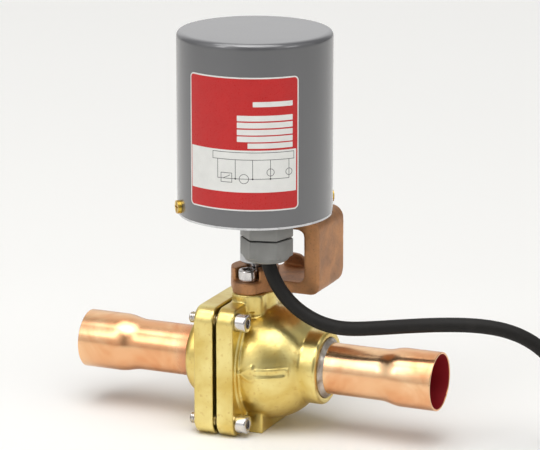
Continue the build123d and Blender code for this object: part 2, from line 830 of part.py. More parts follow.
# Spur gear outline with involute flanks, made from one flank.
def gear_outline(teeth, turn):
    pitch_r = tooth_module * teeth / 2
    base_r = pitch_r * math.cos(math.radians(pressure_angle))
    tip_r = pitch_r + tooth_module
    root_r = pitch_r - 1.25 * tooth_module
    start_r = max(base_r, root_r)

    def roll(radius):
        return math.tan(math.acos(base_r / radius)) - math.acos(base_r / radius)

    half_tooth = (math.pi / 2 - backlash / tooth_module) / teeth + roll(pitch_r)
    steps = 4
    outline = []
    for tooth in range(teeth):
        middle = math.radians(turn + 360 * tooth / teeth)
        radii = [start_r + (tip_r - start_r) * step / steps for step in range(steps + 1)]
        rising = [(r, middle - half_tooth + roll(r)) for r in radii]
        falling = [(r, middle + half_tooth - roll(r)) for r in reversed(radii)]
        foot = half_tooth - roll(start_r)
        points = [(root_r, middle - foot)] if start_r > root_r else []
        points += rising + falling
        points += [(root_r, middle + foot)] if start_r > root_r else []
        outline += [(r * math.cos(a), r * math.sin(a)) for r, a in points]
    return outline


# Output shaft with its gear, and the two cams on it.
with BuildPart() as output_shaft:
    with BuildSketch(Plane.XY.offset(shaft_bottom)):
        Circle(shaft_r)
    extrude(amount=motor_plate_top - shaft_bottom - 0.5)
    chamfer(output_shaft.edges().group_by(Axis.Z)[0], 0.5)
keep(output_shaft, "output_shaft")

with BuildPart() as output_gear:
    with BuildSketch(Plane.XY.offset(gear_bottom)):
        Polygon(*gear_outline(gear_teeth, 180 / gear_teeth), align=None)
        Circle(shaft_r + thread_fit, mode=Mode.SUBTRACT)
        with PolarLocations(0.62 * tooth_module * gear_teeth / 2, 4, start_angle=45):
            Circle(4.5, mode=Mode.SUBTRACT)
    extrude(amount=gear_width)
    with BuildSketch(Plane.XY.offset(gear_bottom + gear_width)):
        Circle(hub_ring_r)
        Circle(shaft_r + thread_fit, mode=Mode.SUBTRACT)
    extrude(amount=bush_collar_bottom - gear_bottom - gear_width - axial_gap)
keep(output_gear, "output_gear")

with BuildPart() as pinion:
    with BuildSketch(Plane.XY.offset(gear_bottom - 0.5)):
        with Locations((-pinion_distance, 0)):
            Polygon(*gear_outline(pinion_teeth, 0), align=None)
    extrude(amount=gear_width + 1)
    with BuildSketch(Plane.XY.offset(gear_bottom + gear_width)):
        with Locations((-pinion_distance, 0)):
            Circle(pinion_shaft_r)
    extrude(amount=pinion_shaft_top - gear_bottom - gear_width)
keep(pinion, "motor_pinion")


# Cam: its radius changes evenly over the quarter turn that the valve makes,
# counted from the direction in which the switch lever touches it.
def cam(name, middle, start, end):
    steps = 9
    ramp = [(start + (end - start) * n / steps, lever_contact - 90 * n / steps) for n in range(steps + 1)]
    rest = [(end, lever_contact - angle) for angle in (115, 140)]
    rest += [(start, lever_contact - angle) for angle in (220, 255, 290, 325)]
    points = [(r * math.cos(math.radians(a)), r * math.sin(math.radians(a))) for r, a in ramp + rest]
    with BuildPart() as disc:
        with BuildSketch(Plane.XY.offset(middle - cam_thick / 2)):
            with BuildLine():
                Spline(*points, periodic=True)
            make_face()
            Circle(shaft_r + thread_fit, mode=Mode.SUBTRACT)
        extrude(amount=cam_thick)
        with BuildSketch(Plane.XY.offset(middle - cam_thick / 2)):
            Circle(hub_ring_r)
            Circle(shaft_r + thread_fit, mode=Mode.SUBTRACT)
        extrude(amount=-cam_hub)
    keep(disc, name)


cam("close_cam", close_cam_middle, cam_base_r, cam_base_r + cam_rise)
cam("open_cam", open_cam_middle, cam_base_r + cam_rise, cam_base_r)


# Limit switch with two ears, a lever pin between them and two post holes.
def limit_switch(name, middle):
    with BuildPart() as switch:
        with BuildSketch(Plane.XY.offset(middle - switch_thick / 2)):
            with Locations((0, switch_front + switch_depth / 2)):
                Rectangle(switch_width, switch_depth)
            with Locations(*switch_post_spots):
                Circle(switch_post_r + thread_fit, mode=Mode.SUBTRACT)
        extrude(amount=switch_thick)
        for low, high in ((-switch_thick / 2, -lever_height / 2 - slip_gap),
                          (lever_height / 2 + slip_gap, switch_thick / 2)):
            with BuildSketch(Plane.XY.offset(middle + low)):
                with Locations((lever_x, (lever_y - 1.6 + switch_front) / 2)):
                    Rectangle(4 * lever_pin_r, switch_front - lever_y + 1.6)
            extrude(amount=high - low)
        with BuildSketch(Plane.XY.offset(middle - switch_thick / 2)):
            with Locations((lever_x, lever_y)):
                Circle(lever_pin_r)
        extrude(amount=switch_thick)
        with BuildSketch(Plane.XY.offset(middle - 1.6)):
            with Locations((-9, switch_front + switch_depth), (0, switch_front + switch_depth),
                           (9, switch_front + switch_depth)):
                Rectangle(3.0, 6.0)
        extrude(amount=0.8)
    keep(switch, name)


# Lever: a spring steel strip with an eye round the pin.
def switch_lever(name, middle, angle):
    with BuildPart() as lever:
        with BuildSketch(Plane.XY.offset(middle - lever_height / 2)):
            with Locations((lever_x, lever_y)):
                Circle(lever_pin_r + 3 * lever_thick / 2)
            with Locations(Location((lever_x, lever_y, 0), (0, 0, angle))):
                Rectangle(lever_reach, lever_thick, align=(Align.MIN, Align.CENTER))
            with Locations((lever_x, lever_y)):
                Circle(lever_pin_r + running_gap, mode=Mode.SUBTRACT)
        extrude(amount=lever_height)
    keep(lever, name)


limit_switch("open_switch", open_cam_middle)
limit_switch("close_switch", close_cam_middle)
switch_lever("open_lever", open_cam_middle, lever_angle(cam_base_r + cam_rise))
switch_lever("close_lever", close_cam_middle, lever_angle(cam_base_r))

with BuildPart() as switch_posts:
    low_switch = open_cam_middle - switch_thick / 2
    with BuildSketch(Plane.XY.offset(plate_top)):
        with Locations(*switch_post_spots):
            Circle(2 * switch_post_r)
    extrude(amount=low_switch - plate_top)
    with BuildSketch(Plane.XY.offset(low_switch)):
        with Locations(*switch_post_spots):
            Circle(switch_post_r)
    extrude(amount=close_cam_middle + switch_thick / 2 - low_switch)
    with BuildSketch(Plane.XY.offset(open_cam_middle + switch_thick / 2)):
        with Locations(*switch_post_spots):
            Circle(2 * switch_post_r)
    extrude(amount=close_cam_middle - open_cam_middle - switch_thick)
keep(switch_posts, "switch_posts")


# Bushes that carry the output shaft.
def shaft_bush(name, bottom, top, outer, flange_bottom, flange_top):
    with BuildPart() as bush:
        with BuildSketch(Plane.XY.offset(bottom)):
            Circle(outer)
        extrude(amount=top - bottom)
        with BuildSketch(Plane.XY.offset(flange_bottom)):
            Circle(outer + bush_flange_spread)
        extrude(amount=flange_top - flange_bottom)
        with BuildSketch(Plane.XY.offset(bottom)):
            Circle(shaft_r + running_gap)
        extrude(amount=top - bottom, mode=Mode.SUBTRACT)
    keep(bush, name)


shaft_bush(
    "lower_shaft_bush", upper_arm_bottom, plate_top + bush_flange, lower_bush_r,
    plate_top, plate_top + bush_flange,
)
shaft_bush(
    "upper_shaft_bush", bush_collar_bottom, motor_plate_top, upper_bush_r,
    bush_collar_bottom, motor_plate_bottom,
)

# Motor plate on its posts.
post_spots = [
    (post_circle * math.cos(math.radians(a)), post_circle * math.sin(math.radians(a))) for a in post_angles
]
with BuildPart() as posts:
    with BuildSketch(Plane.XY.offset(plate_top)):
        with Locations(*post_spots):
            Circle(post_r)
    extrude(amount=motor_plate_bottom - plate_top)
    with BuildSketch(Plane.XY.offset(motor_plate_bottom)):
        with Locations(*post_spots):
            Circle(m4_r + thread_fit)
    extrude(amount=-12, mode=Mode.SUBTRACT)
keep(posts, "motor_posts")

motor_x = motor_offset - pinion_distance
motor_screw_spots = [(motor_x, -motor_ear), (motor_x, motor_ear)]
with BuildPart() as motor_plate:
    with BuildSketch(Plane.XY.offset(motor_plate_bottom)):
        Circle(motor_plate_r)
        Circle(upper_bush_r + slip_gap / 2, mode=Mode.SUBTRACT)
        with Locations((-pinion_distance, 0)):
            Circle(motor_nose_r + slip_gap, mode=Mode.SUBTRACT)
        with Locations(*post_spots, *motor_screw_spots):
            Circle(m4_r + slip_gap, mode=Mode.SUBTRACT)
        with Locations(lead_slot_spot):
            SlotOverall(lead_slot[0], lead_slot[1], mode=Mode.SUBTRACT)
    extrude(amount=motor_plate_thick)
keep(motor_plate, "motor_plate")

# Geared motor as one sealed can with ears, and its screws.
with BuildPart() as motor:
    with BuildSketch(Plane.XY.offset(motor_plate_top)):
        with Locations((motor_x, 0)):
            Circle(motor_r)
    extrude(amount=motor_top - motor_plate_top)
    fillet(motor.edges().group_by(Axis.Z)[-1], 3)
    with BuildSketch(Plane.XY.offset(motor_plate_top)):
        with Locations((motor_x, 0)):
            SlotOverall(2 * motor_ear + 12, 12, rotation=90)
        with Locations(*motor_screw_spots):
            Circle(m4_r + slip_gap, mode=Mode.SUBTRACT)
        with Locations((motor_x, 0)):
            Circle(motor_r - 1, mode=Mode.SUBTRACT)
    extrude(amount=3)
    with BuildSketch(Plane.XY.offset(motor_plate_bottom + 1)):
        with Locations((-pinion_distance, 0)):
            Circle(motor_nose_r)
    extrude(amount=motor_plate_thick)
    with BuildSketch(Plane.XY.offset(motor_plate_bottom)):
        with Locations((-pinion_distance, 0)):
            Circle(pinion_shaft_r + running_gap)
    extrude(amount=pinion_shaft_top + 1 - motor_plate_bottom, mode=Mode.SUBTRACT)
keep(motor, "gear_motor")

with BuildPart() as plate_top_screws:
    for spots, seat, length in (
        (post_spots, motor_plate_top, 13), (motor_screw_spots, motor_plate_top + 3, 7),
    ):
        with BuildSketch(Plane.XY.offset(seat)):
            with Locations(*spots):
                Circle(m4_head_r)
        extrude(amount=m4_head)
        with BuildSketch(Plane.XY.offset(seat)):
            with Locations(*spots):
                Circle(m4_r)
        extrude(amount=-length)
        with Locations(*[(x, y, seat + m4_head) for x, y in spots]):
            Box(2 * m4_head_r, 1.0, 2.0, mode=Mode.SUBTRACT)
keep(plate_top_screws, "motor_screws")

# Run capacitor standing on the motor plate.
with BuildPart() as capacitor:
    with BuildSketch(Plane.XY.offset(motor_plate_top)):
        with Locations((capacitor_x, 0)):
            RectangleRounded(capacitor_size[0], capacitor_size[1], 3)
    extrude(amount=capacitor_size[2])
    fillet(capacitor.edges().group_by(Axis.Z)[-1], 1.5)
keep(capacitor, "run_capacitor")

# Terminal block on the base plate.
with BuildPart() as block:
    with BuildSketch(Plane.XY.offset(plate_top)):
        with Locations((block_x, block_y)):
            Rectangle(block_size[0], block_size[1])
    extrude(amount=block_size[2])
    pole_pitch = block_size[1] / block_poles
    top = plate_top + block_size[2]
    pole_spots = [(block_x, block_y + pole_pitch * (n - (block_poles - 1) / 2)) for n in range(block_poles)]
    with Locations(*[(x, y, top) for x, y in pole_spots]):
        Box(block_size[0] - 4, pole_pitch - 2, 5, mode=Mode.SUBTRACT)
    with Locations(*[(x, y, top - 2.5) for x, y in pole_spots]):
        Cylinder(2.4, 1.6, align=(Align.CENTER, Align.CENTER, Align.MIN))
keep(block, "terminal_block")

# Cable: the free stretch is straight runs joined by arcs as large as fit.
route = [Vector(*point) for point in cable_route]


def arc_radii(points):
    radii = []
    for before, corner, after in zip(points, points[1:], points[2:]):
        first, second = corner - before, after - corner
        half_turn = math.radians(first.get_angle(second) / 2)
        radii.append(0.45 * min(first.length, second.length) / math.tan(half_turn))
    return radii


radii = arc_radii(route)
print("cable arc radii", [round(r, 1) for r in radii])
with BuildPart() as cable:
    with BuildLine() as cable_line:
        FilletPolyline(*route, radius=radii)
    with BuildSketch(Plane(origin=route[0], z_dir=route[1] - route[0])):
        Circle(cable_r)
    sweep()
section = math.pi * cable_r**2
print("cable length", cable_line.wire().length, "volume over section", cable.part.volume / section)
keep(cable, "cable")

# Its put-away turns: one round on the floor and one on top, as a closed ring.
coil_middle = (route[-1].X, route[-1].Y - coil_start_r)
coil_hole_r = coil_end_r - cable_r
with BuildPart() as coil:
    with BuildSketch():
        with Locations(coil_middle):
            Circle(coil_start_r + cable_r)
            Circle(coil_hole_r, mode=Mode.SUBTRACT)
    extrude(amount=2 * cable_r)
    with BuildSketch(Plane.XY.offset(2 * cable_r)):
        with Locations(coil_middle):
            Circle(coil_end_r + cable_r)
            Circle(coil_hole_r, mode=Mode.SUBTRACT)
    extrude(amount=2 * cable_r)
    rims = coil.edges().filter_by(GeomType.CIRCLE).group_by(Axis.Z)
    fillet(rims[0] + rims[-1] + rims[1].sort_by(SortBy.LENGTH)[-1:], coil_soft)
keep(coil, "cable_coil")

# Bared cores at the cable's far end, inside the coil.
with BuildPart() as cores:
    turn = math.radians(core_heading)
    slope = math.radians(core_slope)
    along = Vector(math.cos(turn), math.sin(turn), 0)
    across = Vector(-math.sin(turn), math.cos(turn), 0)
    start_height = core_r * math.cos(slope) + core_length * math.sin(slope)
    for core in range(core_count):
        aside = core_offset + (core - (core_count - 1) / 2) * core_pitch
        back = math.sqrt((coil_hole_r + core_embed)**2 - aside**2)
        start = Vector(coil_middle[0], coil_middle[1], start_height) + across * aside - along * back
        with BuildSketch(Plane(origin=start, z_dir=along * math.cos(slope) - Vector(0, 0, math.sin(slope)))):
            Circle(core_r)
        extrude(amount=core_length)
keep(cores, "cable_cores")
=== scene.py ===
import json
import math

import bmesh
import bpy
from mathutils import Matrix, Vector, noise


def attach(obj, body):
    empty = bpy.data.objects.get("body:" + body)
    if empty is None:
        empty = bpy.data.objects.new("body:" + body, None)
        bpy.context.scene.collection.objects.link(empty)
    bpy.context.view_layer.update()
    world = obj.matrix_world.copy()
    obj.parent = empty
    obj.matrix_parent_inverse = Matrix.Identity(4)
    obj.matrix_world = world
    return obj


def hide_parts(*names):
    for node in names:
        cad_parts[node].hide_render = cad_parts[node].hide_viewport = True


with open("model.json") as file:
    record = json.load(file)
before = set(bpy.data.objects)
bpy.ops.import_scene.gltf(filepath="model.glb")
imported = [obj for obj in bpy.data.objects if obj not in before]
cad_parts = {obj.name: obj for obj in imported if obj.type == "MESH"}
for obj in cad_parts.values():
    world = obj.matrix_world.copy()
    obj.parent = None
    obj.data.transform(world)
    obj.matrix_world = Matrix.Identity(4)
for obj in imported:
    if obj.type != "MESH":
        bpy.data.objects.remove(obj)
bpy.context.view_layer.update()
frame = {"nodes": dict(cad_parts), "record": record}

mm = 0.001
pipe = 46 * mm          # height of the pipe's axis
black, white = (0, 0, 0, 1), (1, 1, 1, 1)
print("frame loaded:", len(frame["nodes"]), "nodes")


def srgb(red, green, blue):
    # a screen colour, 0 to 255, as the linear colour that shaders take
    def linear(value):
        share = value / 255
        return share / 12.92 if share <= 0.04045 else ((share + 0.055) / 1.055) ** 2.4

    return (linear(red), linear(green), linear(blue), 1.0)


class Sock:
    # a shader socket that Python's operators work on
    def __init__(self, finish, link):
        self.finish, self.link = finish, link

    def calc(self, operation, *others):
        return self.finish.node("ShaderNodeMath", {"operation": operation}, [self, *others])

    def flipped(self, operation, other):
        return self.finish.node("ShaderNodeMath", {"operation": operation}, [other, self])

    def __add__(self, other):
        return self.calc("ADD", other)

    def __radd__(self, other):
        return self.flipped("ADD", other)

    def __sub__(self, other):
        return self.calc("SUBTRACT", other)

    def __rsub__(self, other):
        return self.flipped("SUBTRACT", other)

    def __mul__(self, other):
        return self.calc("MULTIPLY", other)

    def __rmul__(self, other):
        return self.flipped("MULTIPLY", other)


class Finish:
    # one material; the tree can also be the world's
    def __init__(self, name, tree=None):
        if tree is None:
            self.material = bpy.data.materials.new(name)
            self.material.use_nodes = True
            tree = self.material.node_tree
        self.tree = tree
        self.shader = tree.nodes.get("Principled BSDF")

    def node(self, kind, settings=None, inputs=(), output=0):
        made = self.tree.nodes.new(kind)
        for key, value in (settings or {}).items():
            if key == "stops":
                ramp = made.color_ramp
                ramp.elements[0].position, ramp.elements[0].color = value[0]
                ramp.elements[1].position, ramp.elements[1].color = value[-1]
                for place, colour in value[1:-1]:
                    ramp.elements.new(place).color = colour
            else:
                setattr(made, key, value)
        pairs = inputs.items() if isinstance(inputs, dict) else enumerate(inputs)
        for key, value in pairs:
            self.feed(made.inputs[key], value)
        return Sock(self, made.outputs[output])

    def feed(self, socket, value):
        if isinstance(value, Sock):
            self.tree.links.new(value.link, socket)
        else:
            socket.default_value = value

    def surface(self, **values):
        for key, value in values.items():
            self.feed(self.shader.inputs[key.replace("_", " ")], value)

    def place(self):
        return self.node("ShaderNodeTexCoord", output="Object")

    def axis(self, name, vector=None):
        return self.node("ShaderNodeSeparateXYZ", None, [vector or self.place()], name)

    def stretched(self, x, y, z):
        return self.node("ShaderNodeMapping", None, {"Vector": self.place(), "Scale": (x, y, z)})

    def grain(self, scale, detail=2.0, roughness=0.5, distortion=0.0, vector=None):
        return self.node(
            "ShaderNodeTexNoise", None,
            {"Vector": vector or self.place(), "Scale": scale, "Detail": detail, "Roughness": roughness,
             "Distortion": distortion},
        )

    def spots(self, scale):
        return self.node("ShaderNodeTexVoronoi", None, {"Vector": self.place(), "Scale": scale})

    def ramp(self, value, *stops):
        spread = [(place, (v, v, v, 1) if isinstance(v, (int, float)) else v) for place, v in stops]
        return self.node("ShaderNodeValToRGB", {"stops": spread}, [value])

    def mix(self, amount, first, second, blend="MIX"):
        return self.node(
            "ShaderNodeMix", {"data_type": "RGBA", "blend_type": blend}, {0: amount, 6: first, 7: second}, 2
        )

    def bump(self, height, look):
        inputs = {"Height": height, "Distance": look["depth"] * mm, "Strength": look["strength"]}
        return self.node("ShaderNodeBump", None, inputs)


# in each material a grain is its scale, detail, roughness and distortion, a ramp is its stops, depth is in mm,
# and roughness is where the surface is smoothest
castBrass = {
    "bright": srgb(238, 221, 148), "deep": srgb(214, 184, 98), "stain": srgb(190, 144, 72), "stainShare": 0.35,
    "patches": (40, 3.0, 0.55, 0.3), "fine": (900, 3.0, 0.6), "specks": (330,), "ripples": (240,),
    "patchRamp": ((0.32, 0.0), (0.70, 1.0)), "speckRamp": ((0.60, 0.0), (0.74, 1.0)),
    "roughness": 0.21, "patchRough": 0.12, "fineRough": 0.10, "fineHeight": 0.6, "rippleHeight": 1.4,
    "depth": 0.10, "strength": 0.5,
}


def brassFinish(name):
    look = castBrass
    finish = Finish(name)
    patches = finish.grain(*look["patches"])
    fine = finish.grain(*look["fine"])
    specks = finish.ramp(finish.grain(*look["specks"]), *look["speckRamp"])
    colour = finish.mix(finish.ramp(patches, *look["patchRamp"]), look["bright"], look["deep"])
    colour = finish.mix(specks * look["stainShare"], colour, look["stain"])
    height = fine * look["fineHeight"] + finish.grain(*look["ripples"]) * look["rippleHeight"]
    finish.surface(
        Base_Color=colour, Metallic=1.0, Normal=finish.bump(height, look),
        Roughness=patches * look["patchRough"] + fine * look["fineRough"] + look["roughness"],
    )
    return finish.material


# the heat stain fades out between heatEnds, in metres from the middle of the valve
drawnCopper = {
    "bright": srgb(247, 205, 160), "deep": srgb(226, 156, 106), "heat": srgb(180, 98, 66),
    "clouds": (26, 3.0, 0.55, 0.8), "streaks": (700, 3.0, 0.6), "stretch": (0.12, 1.0, 1.0),
    "cloudRamp": ((0.34, 0.0), (0.68, 1.0)), "heatEnds": (0.064, 0.050), "heatShare": 0.55, "heatWave": 0.012,
    "roughness": 0.20, "streakRough": 0.07, "heatRough": 0.15, "depth": 0.02, "strength": 0.35,
}


def copperFinish(name):
    look = drawnCopper
    finish = Finish(name)
    streaks = finish.grain(*look["streaks"], vector=finish.stretched(*look["stretch"]))
    clouds = finish.grain(*look["clouds"])
    colour = finish.mix(finish.ramp(clouds, *look["cloudRamp"]), look["bright"], look["deep"])
    away = finish.axis("X").calc("ABSOLUTE") + clouds * look["heatWave"]
    cold, hot = look["heatEnds"]
    heat = finish.node(
        "ShaderNodeMapRange", {"interpolation_type": "SMOOTHSTEP"}, [away, cold, hot, 0.0, look["heatShare"]]
    )
    finish.surface(
        Base_Color=finish.mix(heat, colour, look["heat"]), Metallic=1.0, Normal=finish.bump(streaks, look),
        Roughness=look["roughness"] + streaks * look["streakRough"] + heat * look["heatRough"],
    )
    return finish.material


oxideRed = {
    "bright": srgb(176, 30, 40), "deep": srgb(140, 18, 28), "clouds": (60, 3.0, 0.6), "metallic": 0.15,
    "roughness": 0.42, "cloudRough": 0.15,
}


def tubeInsideFinish(name):
    look = oxideRed
    finish = Finish(name)
    clouds = finish.grain(*look["clouds"])
    finish.surface(
        Base_Color=finish.mix(clouds, look["bright"], look["deep"]), Metallic=look["metallic"],
        Roughness=clouds * look["cloudRough"] + look["roughness"],
    )
    return finish.material


oldBronze = {
    "base": srgb(164, 120, 86), "worn": srgb(200, 143, 94), "dark": srgb(112, 82, 62), "metallic": 0.55,
    "patches": (48, 4.0, 0.6, 0.6), "fine": (620, 4.0, 0.65), "pitScale": 330, "pitShare": 0.5,
    "patchRamp": ((0.36, 0.0), (0.66, 1.0)), "fineRamp": ((0.55, 0.0), (0.80, 0.5)),
    "pitRamp": ((0.06, 1.0), (0.18, 0.0)), "roughness": 0.40, "fineRough": 0.16,
    "fineHeight": 0.8, "patchHeight": 1.5, "pitHeight": 0.6, "depth": 0.18, "strength": 0.5,
}


def bronzeFinish(name):
    look = oldBronze
    finish = Finish(name)
    patches = finish.grain(*look["patches"])
    fine = finish.grain(*look["fine"])
    pits = finish.ramp(finish.spots(look["pitScale"]), *look["pitRamp"])
    colour = finish.mix(finish.ramp(patches, *look["patchRamp"]), look["base"], look["worn"])
    colour = finish.mix(finish.ramp(fine, *look["fineRamp"]), colour, look["dark"])
    colour = finish.mix(pits * look["pitShare"], colour, look["dark"])
    height = fine * look["fineHeight"] + patches * look["patchHeight"] - pits * look["pitHeight"]
    finish.surface(
        Base_Color=colour, Metallic=look["metallic"], Roughness=fine * look["fineRough"] + look["roughness"],
        Normal=finish.bump(height, look),
    )
    return finish.material


coverGrey = {
    "base": srgb(80, 80, 83), "dust": srgb(98, 98, 98), "dustShare": 0.25, "driftShare": 0.12,
    "peel": (650,), "drift": (14, 3.0), "dustGrain": (1500, 1.0), "dustRamp": ((0.66, 0.0), (0.76, 1.0)),
    "roughness": 0.31, "driftRough": 0.06, "peelRough": 0.05, "coat": 1.0, "coatRoughness": 0.13, "coatIndex": 1.75,
    "depth": 0.03, "strength": 0.20,
}


def paintFinish(name):
    look = coverGrey
    finish = Finish(name)
    peel = finish.grain(*look["peel"])
    drift = finish.grain(*look["drift"])
    dust = finish.ramp(finish.grain(*look["dustGrain"]), *look["dustRamp"])
    finish.surface(
        Base_Color=finish.mix(dust * look["dustShare"] + drift * look["driftShare"], look["base"], look["dust"]),
        Roughness=drift * look["driftRough"] + peel * look["peelRough"] + look["roughness"],
        Coat_Weight=look["coat"], Coat_Roughness=look["coatRoughness"], Coat_IOR=look["coatIndex"],
        Normal=finish.bump(peel, look),
    )
    return finish.material


jacketBlack = {
    "base": srgb(25, 23, 21), "scuff": srgb(42, 40, 37), "scuffs": (90, 4.0, 0.62, 0.4), "fine": (1300,),
    "scuffRamp": ((0.50, 0.0), (0.78, 0.55)), "roughness": 0.56, "scuffRough": 0.14, "specular": 0.28,
    "scuffHeight": 1.5, "depth": 0.04, "strength": 0.4,
}


def jacketFinish(name):
    look = jacketBlack
    finish = Finish(name)
    scuffs = finish.grain(*look["scuffs"])
    height = finish.grain(*look["fine"]) + scuffs * look["scuffHeight"]
    finish.surface(
        Base_Color=finish.mix(finish.ramp(scuffs, *look["scuffRamp"]), look["base"], look["scuff"]),
        Roughness=scuffs * look["scuffRough"] + look["roughness"], Specular_IOR_Level=look["specular"],
        Normal=finish.bump(height, look),
    )
    return finish.material


nylonGrey = {
    "base": srgb(138, 138, 135), "shade": srgb(116, 116, 113), "drift": (70, 3.0), "fine": (1600,),
    "driftRamp": ((0.35, 0.0), (0.75, 0.7)), "roughness": 0.37, "fineRough": 0.12, "depth": 0.03, "strength": 0.4,
}


def nylonFinish(name):
    look = nylonGrey
    finish = Finish(name)
    drift = finish.grain(*look["drift"])
    fine = finish.grain(*look["fine"])
    finish.surface(
        Base_Color=finish.mix(finish.ramp(drift, *look["driftRamp"]), look["base"], look["shade"]),
        Roughness=fine * look["fineRough"] + look["roughness"], Normal=finish.bump(fine, look),
    )
    return finish.material


def darkened(colour, share):
    return tuple(v * share for v in colour[:3]) + (1.0,)


plainMetal = {
    "drift": (160, 3.0, 0.55), "fine": (1400, 2.0, 0.6), "driftRamp": ((0.38, 0.0), (0.72, 1.0)), "darker": 0.78,
    "driftRough": 0.14, "fineRough": 0.06, "smoother": 0.10, "fineHeight": 0.4, "depth": 0.04, "strength": 0.35,
}


def metalFinish(name, colour, roughness, lines=0.0, tint=None):
    # plated, turned or ground metal; lines makes its tool marks deeper
    look = plainMetal
    finish = Finish(name)
    drift = finish.grain(*look["drift"])
    fine = finish.grain(*look["fine"])
    second = tint or darkened(colour, look["darker"])
    finish.surface(
        Base_Color=finish.mix(finish.ramp(drift, *look["driftRamp"]), colour, second), Metallic=1.0,
        Roughness=drift * look["driftRough"] + fine * look["fineRough"] + (roughness - look["smoother"]),
        Normal=finish.bump(fine * (look["fineHeight"] + lines) + drift, look),
    )
    return finish.material


plainPlastic = {
    "drift": (120, 3.0), "fine": (1800,), "darker": 0.84, "fineRough": 0.12, "smoother": 0.05,
    "depth": 0.03, "strength": 0.3,
}


def plasticFinish(name, colour, roughness):
    look = plainPlastic
    finish = Finish(name)
    drift = finish.grain(*look["drift"])
    fine = finish.grain(*look["fine"])
    finish.surface(
        Base_Color=finish.mix(drift, colour, darkened(colour, look["darker"])),
        Roughness=fine * look["fineRough"] + (roughness - look["smoother"]), Normal=finish.bump(fine, look),
    )
    return finish.material


looks = {
    "copper": copperFinish("drawn_copper"), "tube_inside": tubeInsideFinish("copper_inside"),
    "brass_casting": brassFinish("cast_brass"), "bronze_casting": bronzeFinish("cast_bronze"),
    "cover_paint": paintFinish("grey_paint"), "cable_jacket": jacketFinish("black_jacket"),
    "gland_nylon": nylonFinish("grey_nylon"),
    "braze": metalFinish("silver_braze", srgb(206, 198, 188), 0.34, tint=srgb(150, 132, 112)),
    "steel_screw": metalFinish("bright_steel", srgb(218, 214, 212), 0.24),
    "zinc_screw": metalFinish("yellow_zinc", srgb(222, 190, 84), 0.28, tint=srgb(196, 150, 60)),
    "plated_steel": metalFinish("plated_sheet", srgb(214, 214, 216), 0.26),
    "stem_steel": metalFinish("turned_steel", srgb(196, 196, 198), 0.28, 0.6),
    "gear_steel": metalFinish("cut_steel", srgb(150, 150, 154), 0.36, 0.6),
    "bearing_bronze": metalFinish("sintered_bronze", srgb(200, 158, 96), 0.42),
    "ball_plating": metalFinish("polished_ball", srgb(226, 226, 228), 0.12),
    "motor_can": metalFinish("motor_can", srgb(190, 190, 192), 0.34),
    "capacitor_can": metalFinish("capacitor_can", srgb(206, 206, 208), 0.30),
    "ptfe": plasticFinish("white_seat", srgb(238, 238, 232), 0.40),
    "white_plastic": plasticFinish("white_moulding", srgb(232, 230, 222), 0.45),
    "black_plastic": plasticFinish("black_moulding", srgb(34, 34, 36), 0.42),
    "black_rubber": plasticFinish("black_rubber", srgb(22, 22, 22), 0.6),
    "gasket": plasticFinish("joint_fibre", srgb(54, 44, 34), 0.75),
    "core_insulation": plasticFinish("core_insulation", srgb(150, 92, 52), 0.35),
    "label": plasticFinish("label_white", srgb(240, 240, 236), 0.28),
    "label_red": plasticFinish("label_red", srgb(202, 26, 26), 0.28),
    "label_black": plasticFinish("label_black", srgb(36, 34, 36), 0.32),
}
coreColours = {"brown": (112, 66, 38), "blue": (44, 84, 150), "black": (30, 30, 32), "green": (70, 130, 50)}
for core, colour in coreColours.items():
    looks["core_" + core] = plasticFinish("core_" + core, srgb(*colour), 0.35)
print("materials made:", len(looks))


def addPiece(name, mesh, slot, nodes=(), sharp=35, marked=()):
    # edges that turn more than sharp degrees stay sharp; marked holds the materials that faces are marked with
    piece = bpy.data.objects.new(name, mesh)
    bpy.context.scene.collection.objects.link(piece)
    for one in marked or [slot]:
        mesh.materials.append(looks[one])
    mesh.shade_smooth()
    if sharp:
        mesh.set_sharp_from_angle(angle=math.radians(sharp))
    if nodes:
        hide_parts(*nodes)
    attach(piece, "housing")
    return piece


def meshOf(points, faces, marks=()):
    mesh = bpy.data.meshes.new("shape")
    mesh.from_pydata(points, [], faces)
    for face, mark in zip(mesh.polygons, marks):
        face.material_index = mark
    mesh.update()
    return mesh


def outward(mesh):
    # turn the faces so that they all look outwards
    shape = bmesh.new()
    shape.from_mesh(mesh)
    bmesh.ops.recalc_face_normals(shape, faces=shape.faces)
    shape.to_mesh(mesh)
    shape.free()
    return mesh


def turned(profile, place, steps, closed=False, inner=()):
    # rings of points round local z; each profile entry is a height and a radius, or its function of the angle
    points, faces, marks = [], [], []
    for height, radius in profile:
        for step in range(steps):
            angle = 2 * math.pi * step / steps
            r = (radius(angle) if callable(radius) else radius) * mm
            points.append(place @ Vector((r * math.cos(angle), r * math.sin(angle), height * mm)))
    rings = len(profile)
    for low in range(rings if closed else rings - 1):
        high = (low + 1) % rings
        for step in range(steps):
            after = (step + 1) % steps
            faces.append((low * steps + step, low * steps + after, high * steps + after, high * steps + step))
            marks.append(int(low in inner))
    if not closed:
        faces += [tuple(reversed(range(steps))), tuple(range((rings - 1) * steps, rings * steps))]
        marks += [0, 0]
    return outward(meshOf(points, faces, marks))


def eased(corners, steps):
    # a profile through corners of height, radius and rounding; two roundings never meet on an edge
    spots = [Vector(corner[:2]) for corner in corners]
    path = []
    for n, (here, corner) in enumerate(zip(spots, corners)):
        if corner[2] <= 0:
            path.append(tuple(here))
            continue
        before, after = spots[n - 1] - here, spots[(n + 1) % len(spots)] - here
        reach = min(corner[2] / math.tan(before.angle(after) / 2), 0.49 * before.length, 0.49 * after.length)
        start, end = here + before.normalized() * reach, here + after.normalized() * reach
        for step in range(steps + 1):
            t = step / steps
            path.append(tuple(start * (1 - t) ** 2 + here * 2 * t * (1 - t) + end * t * t))
    return path


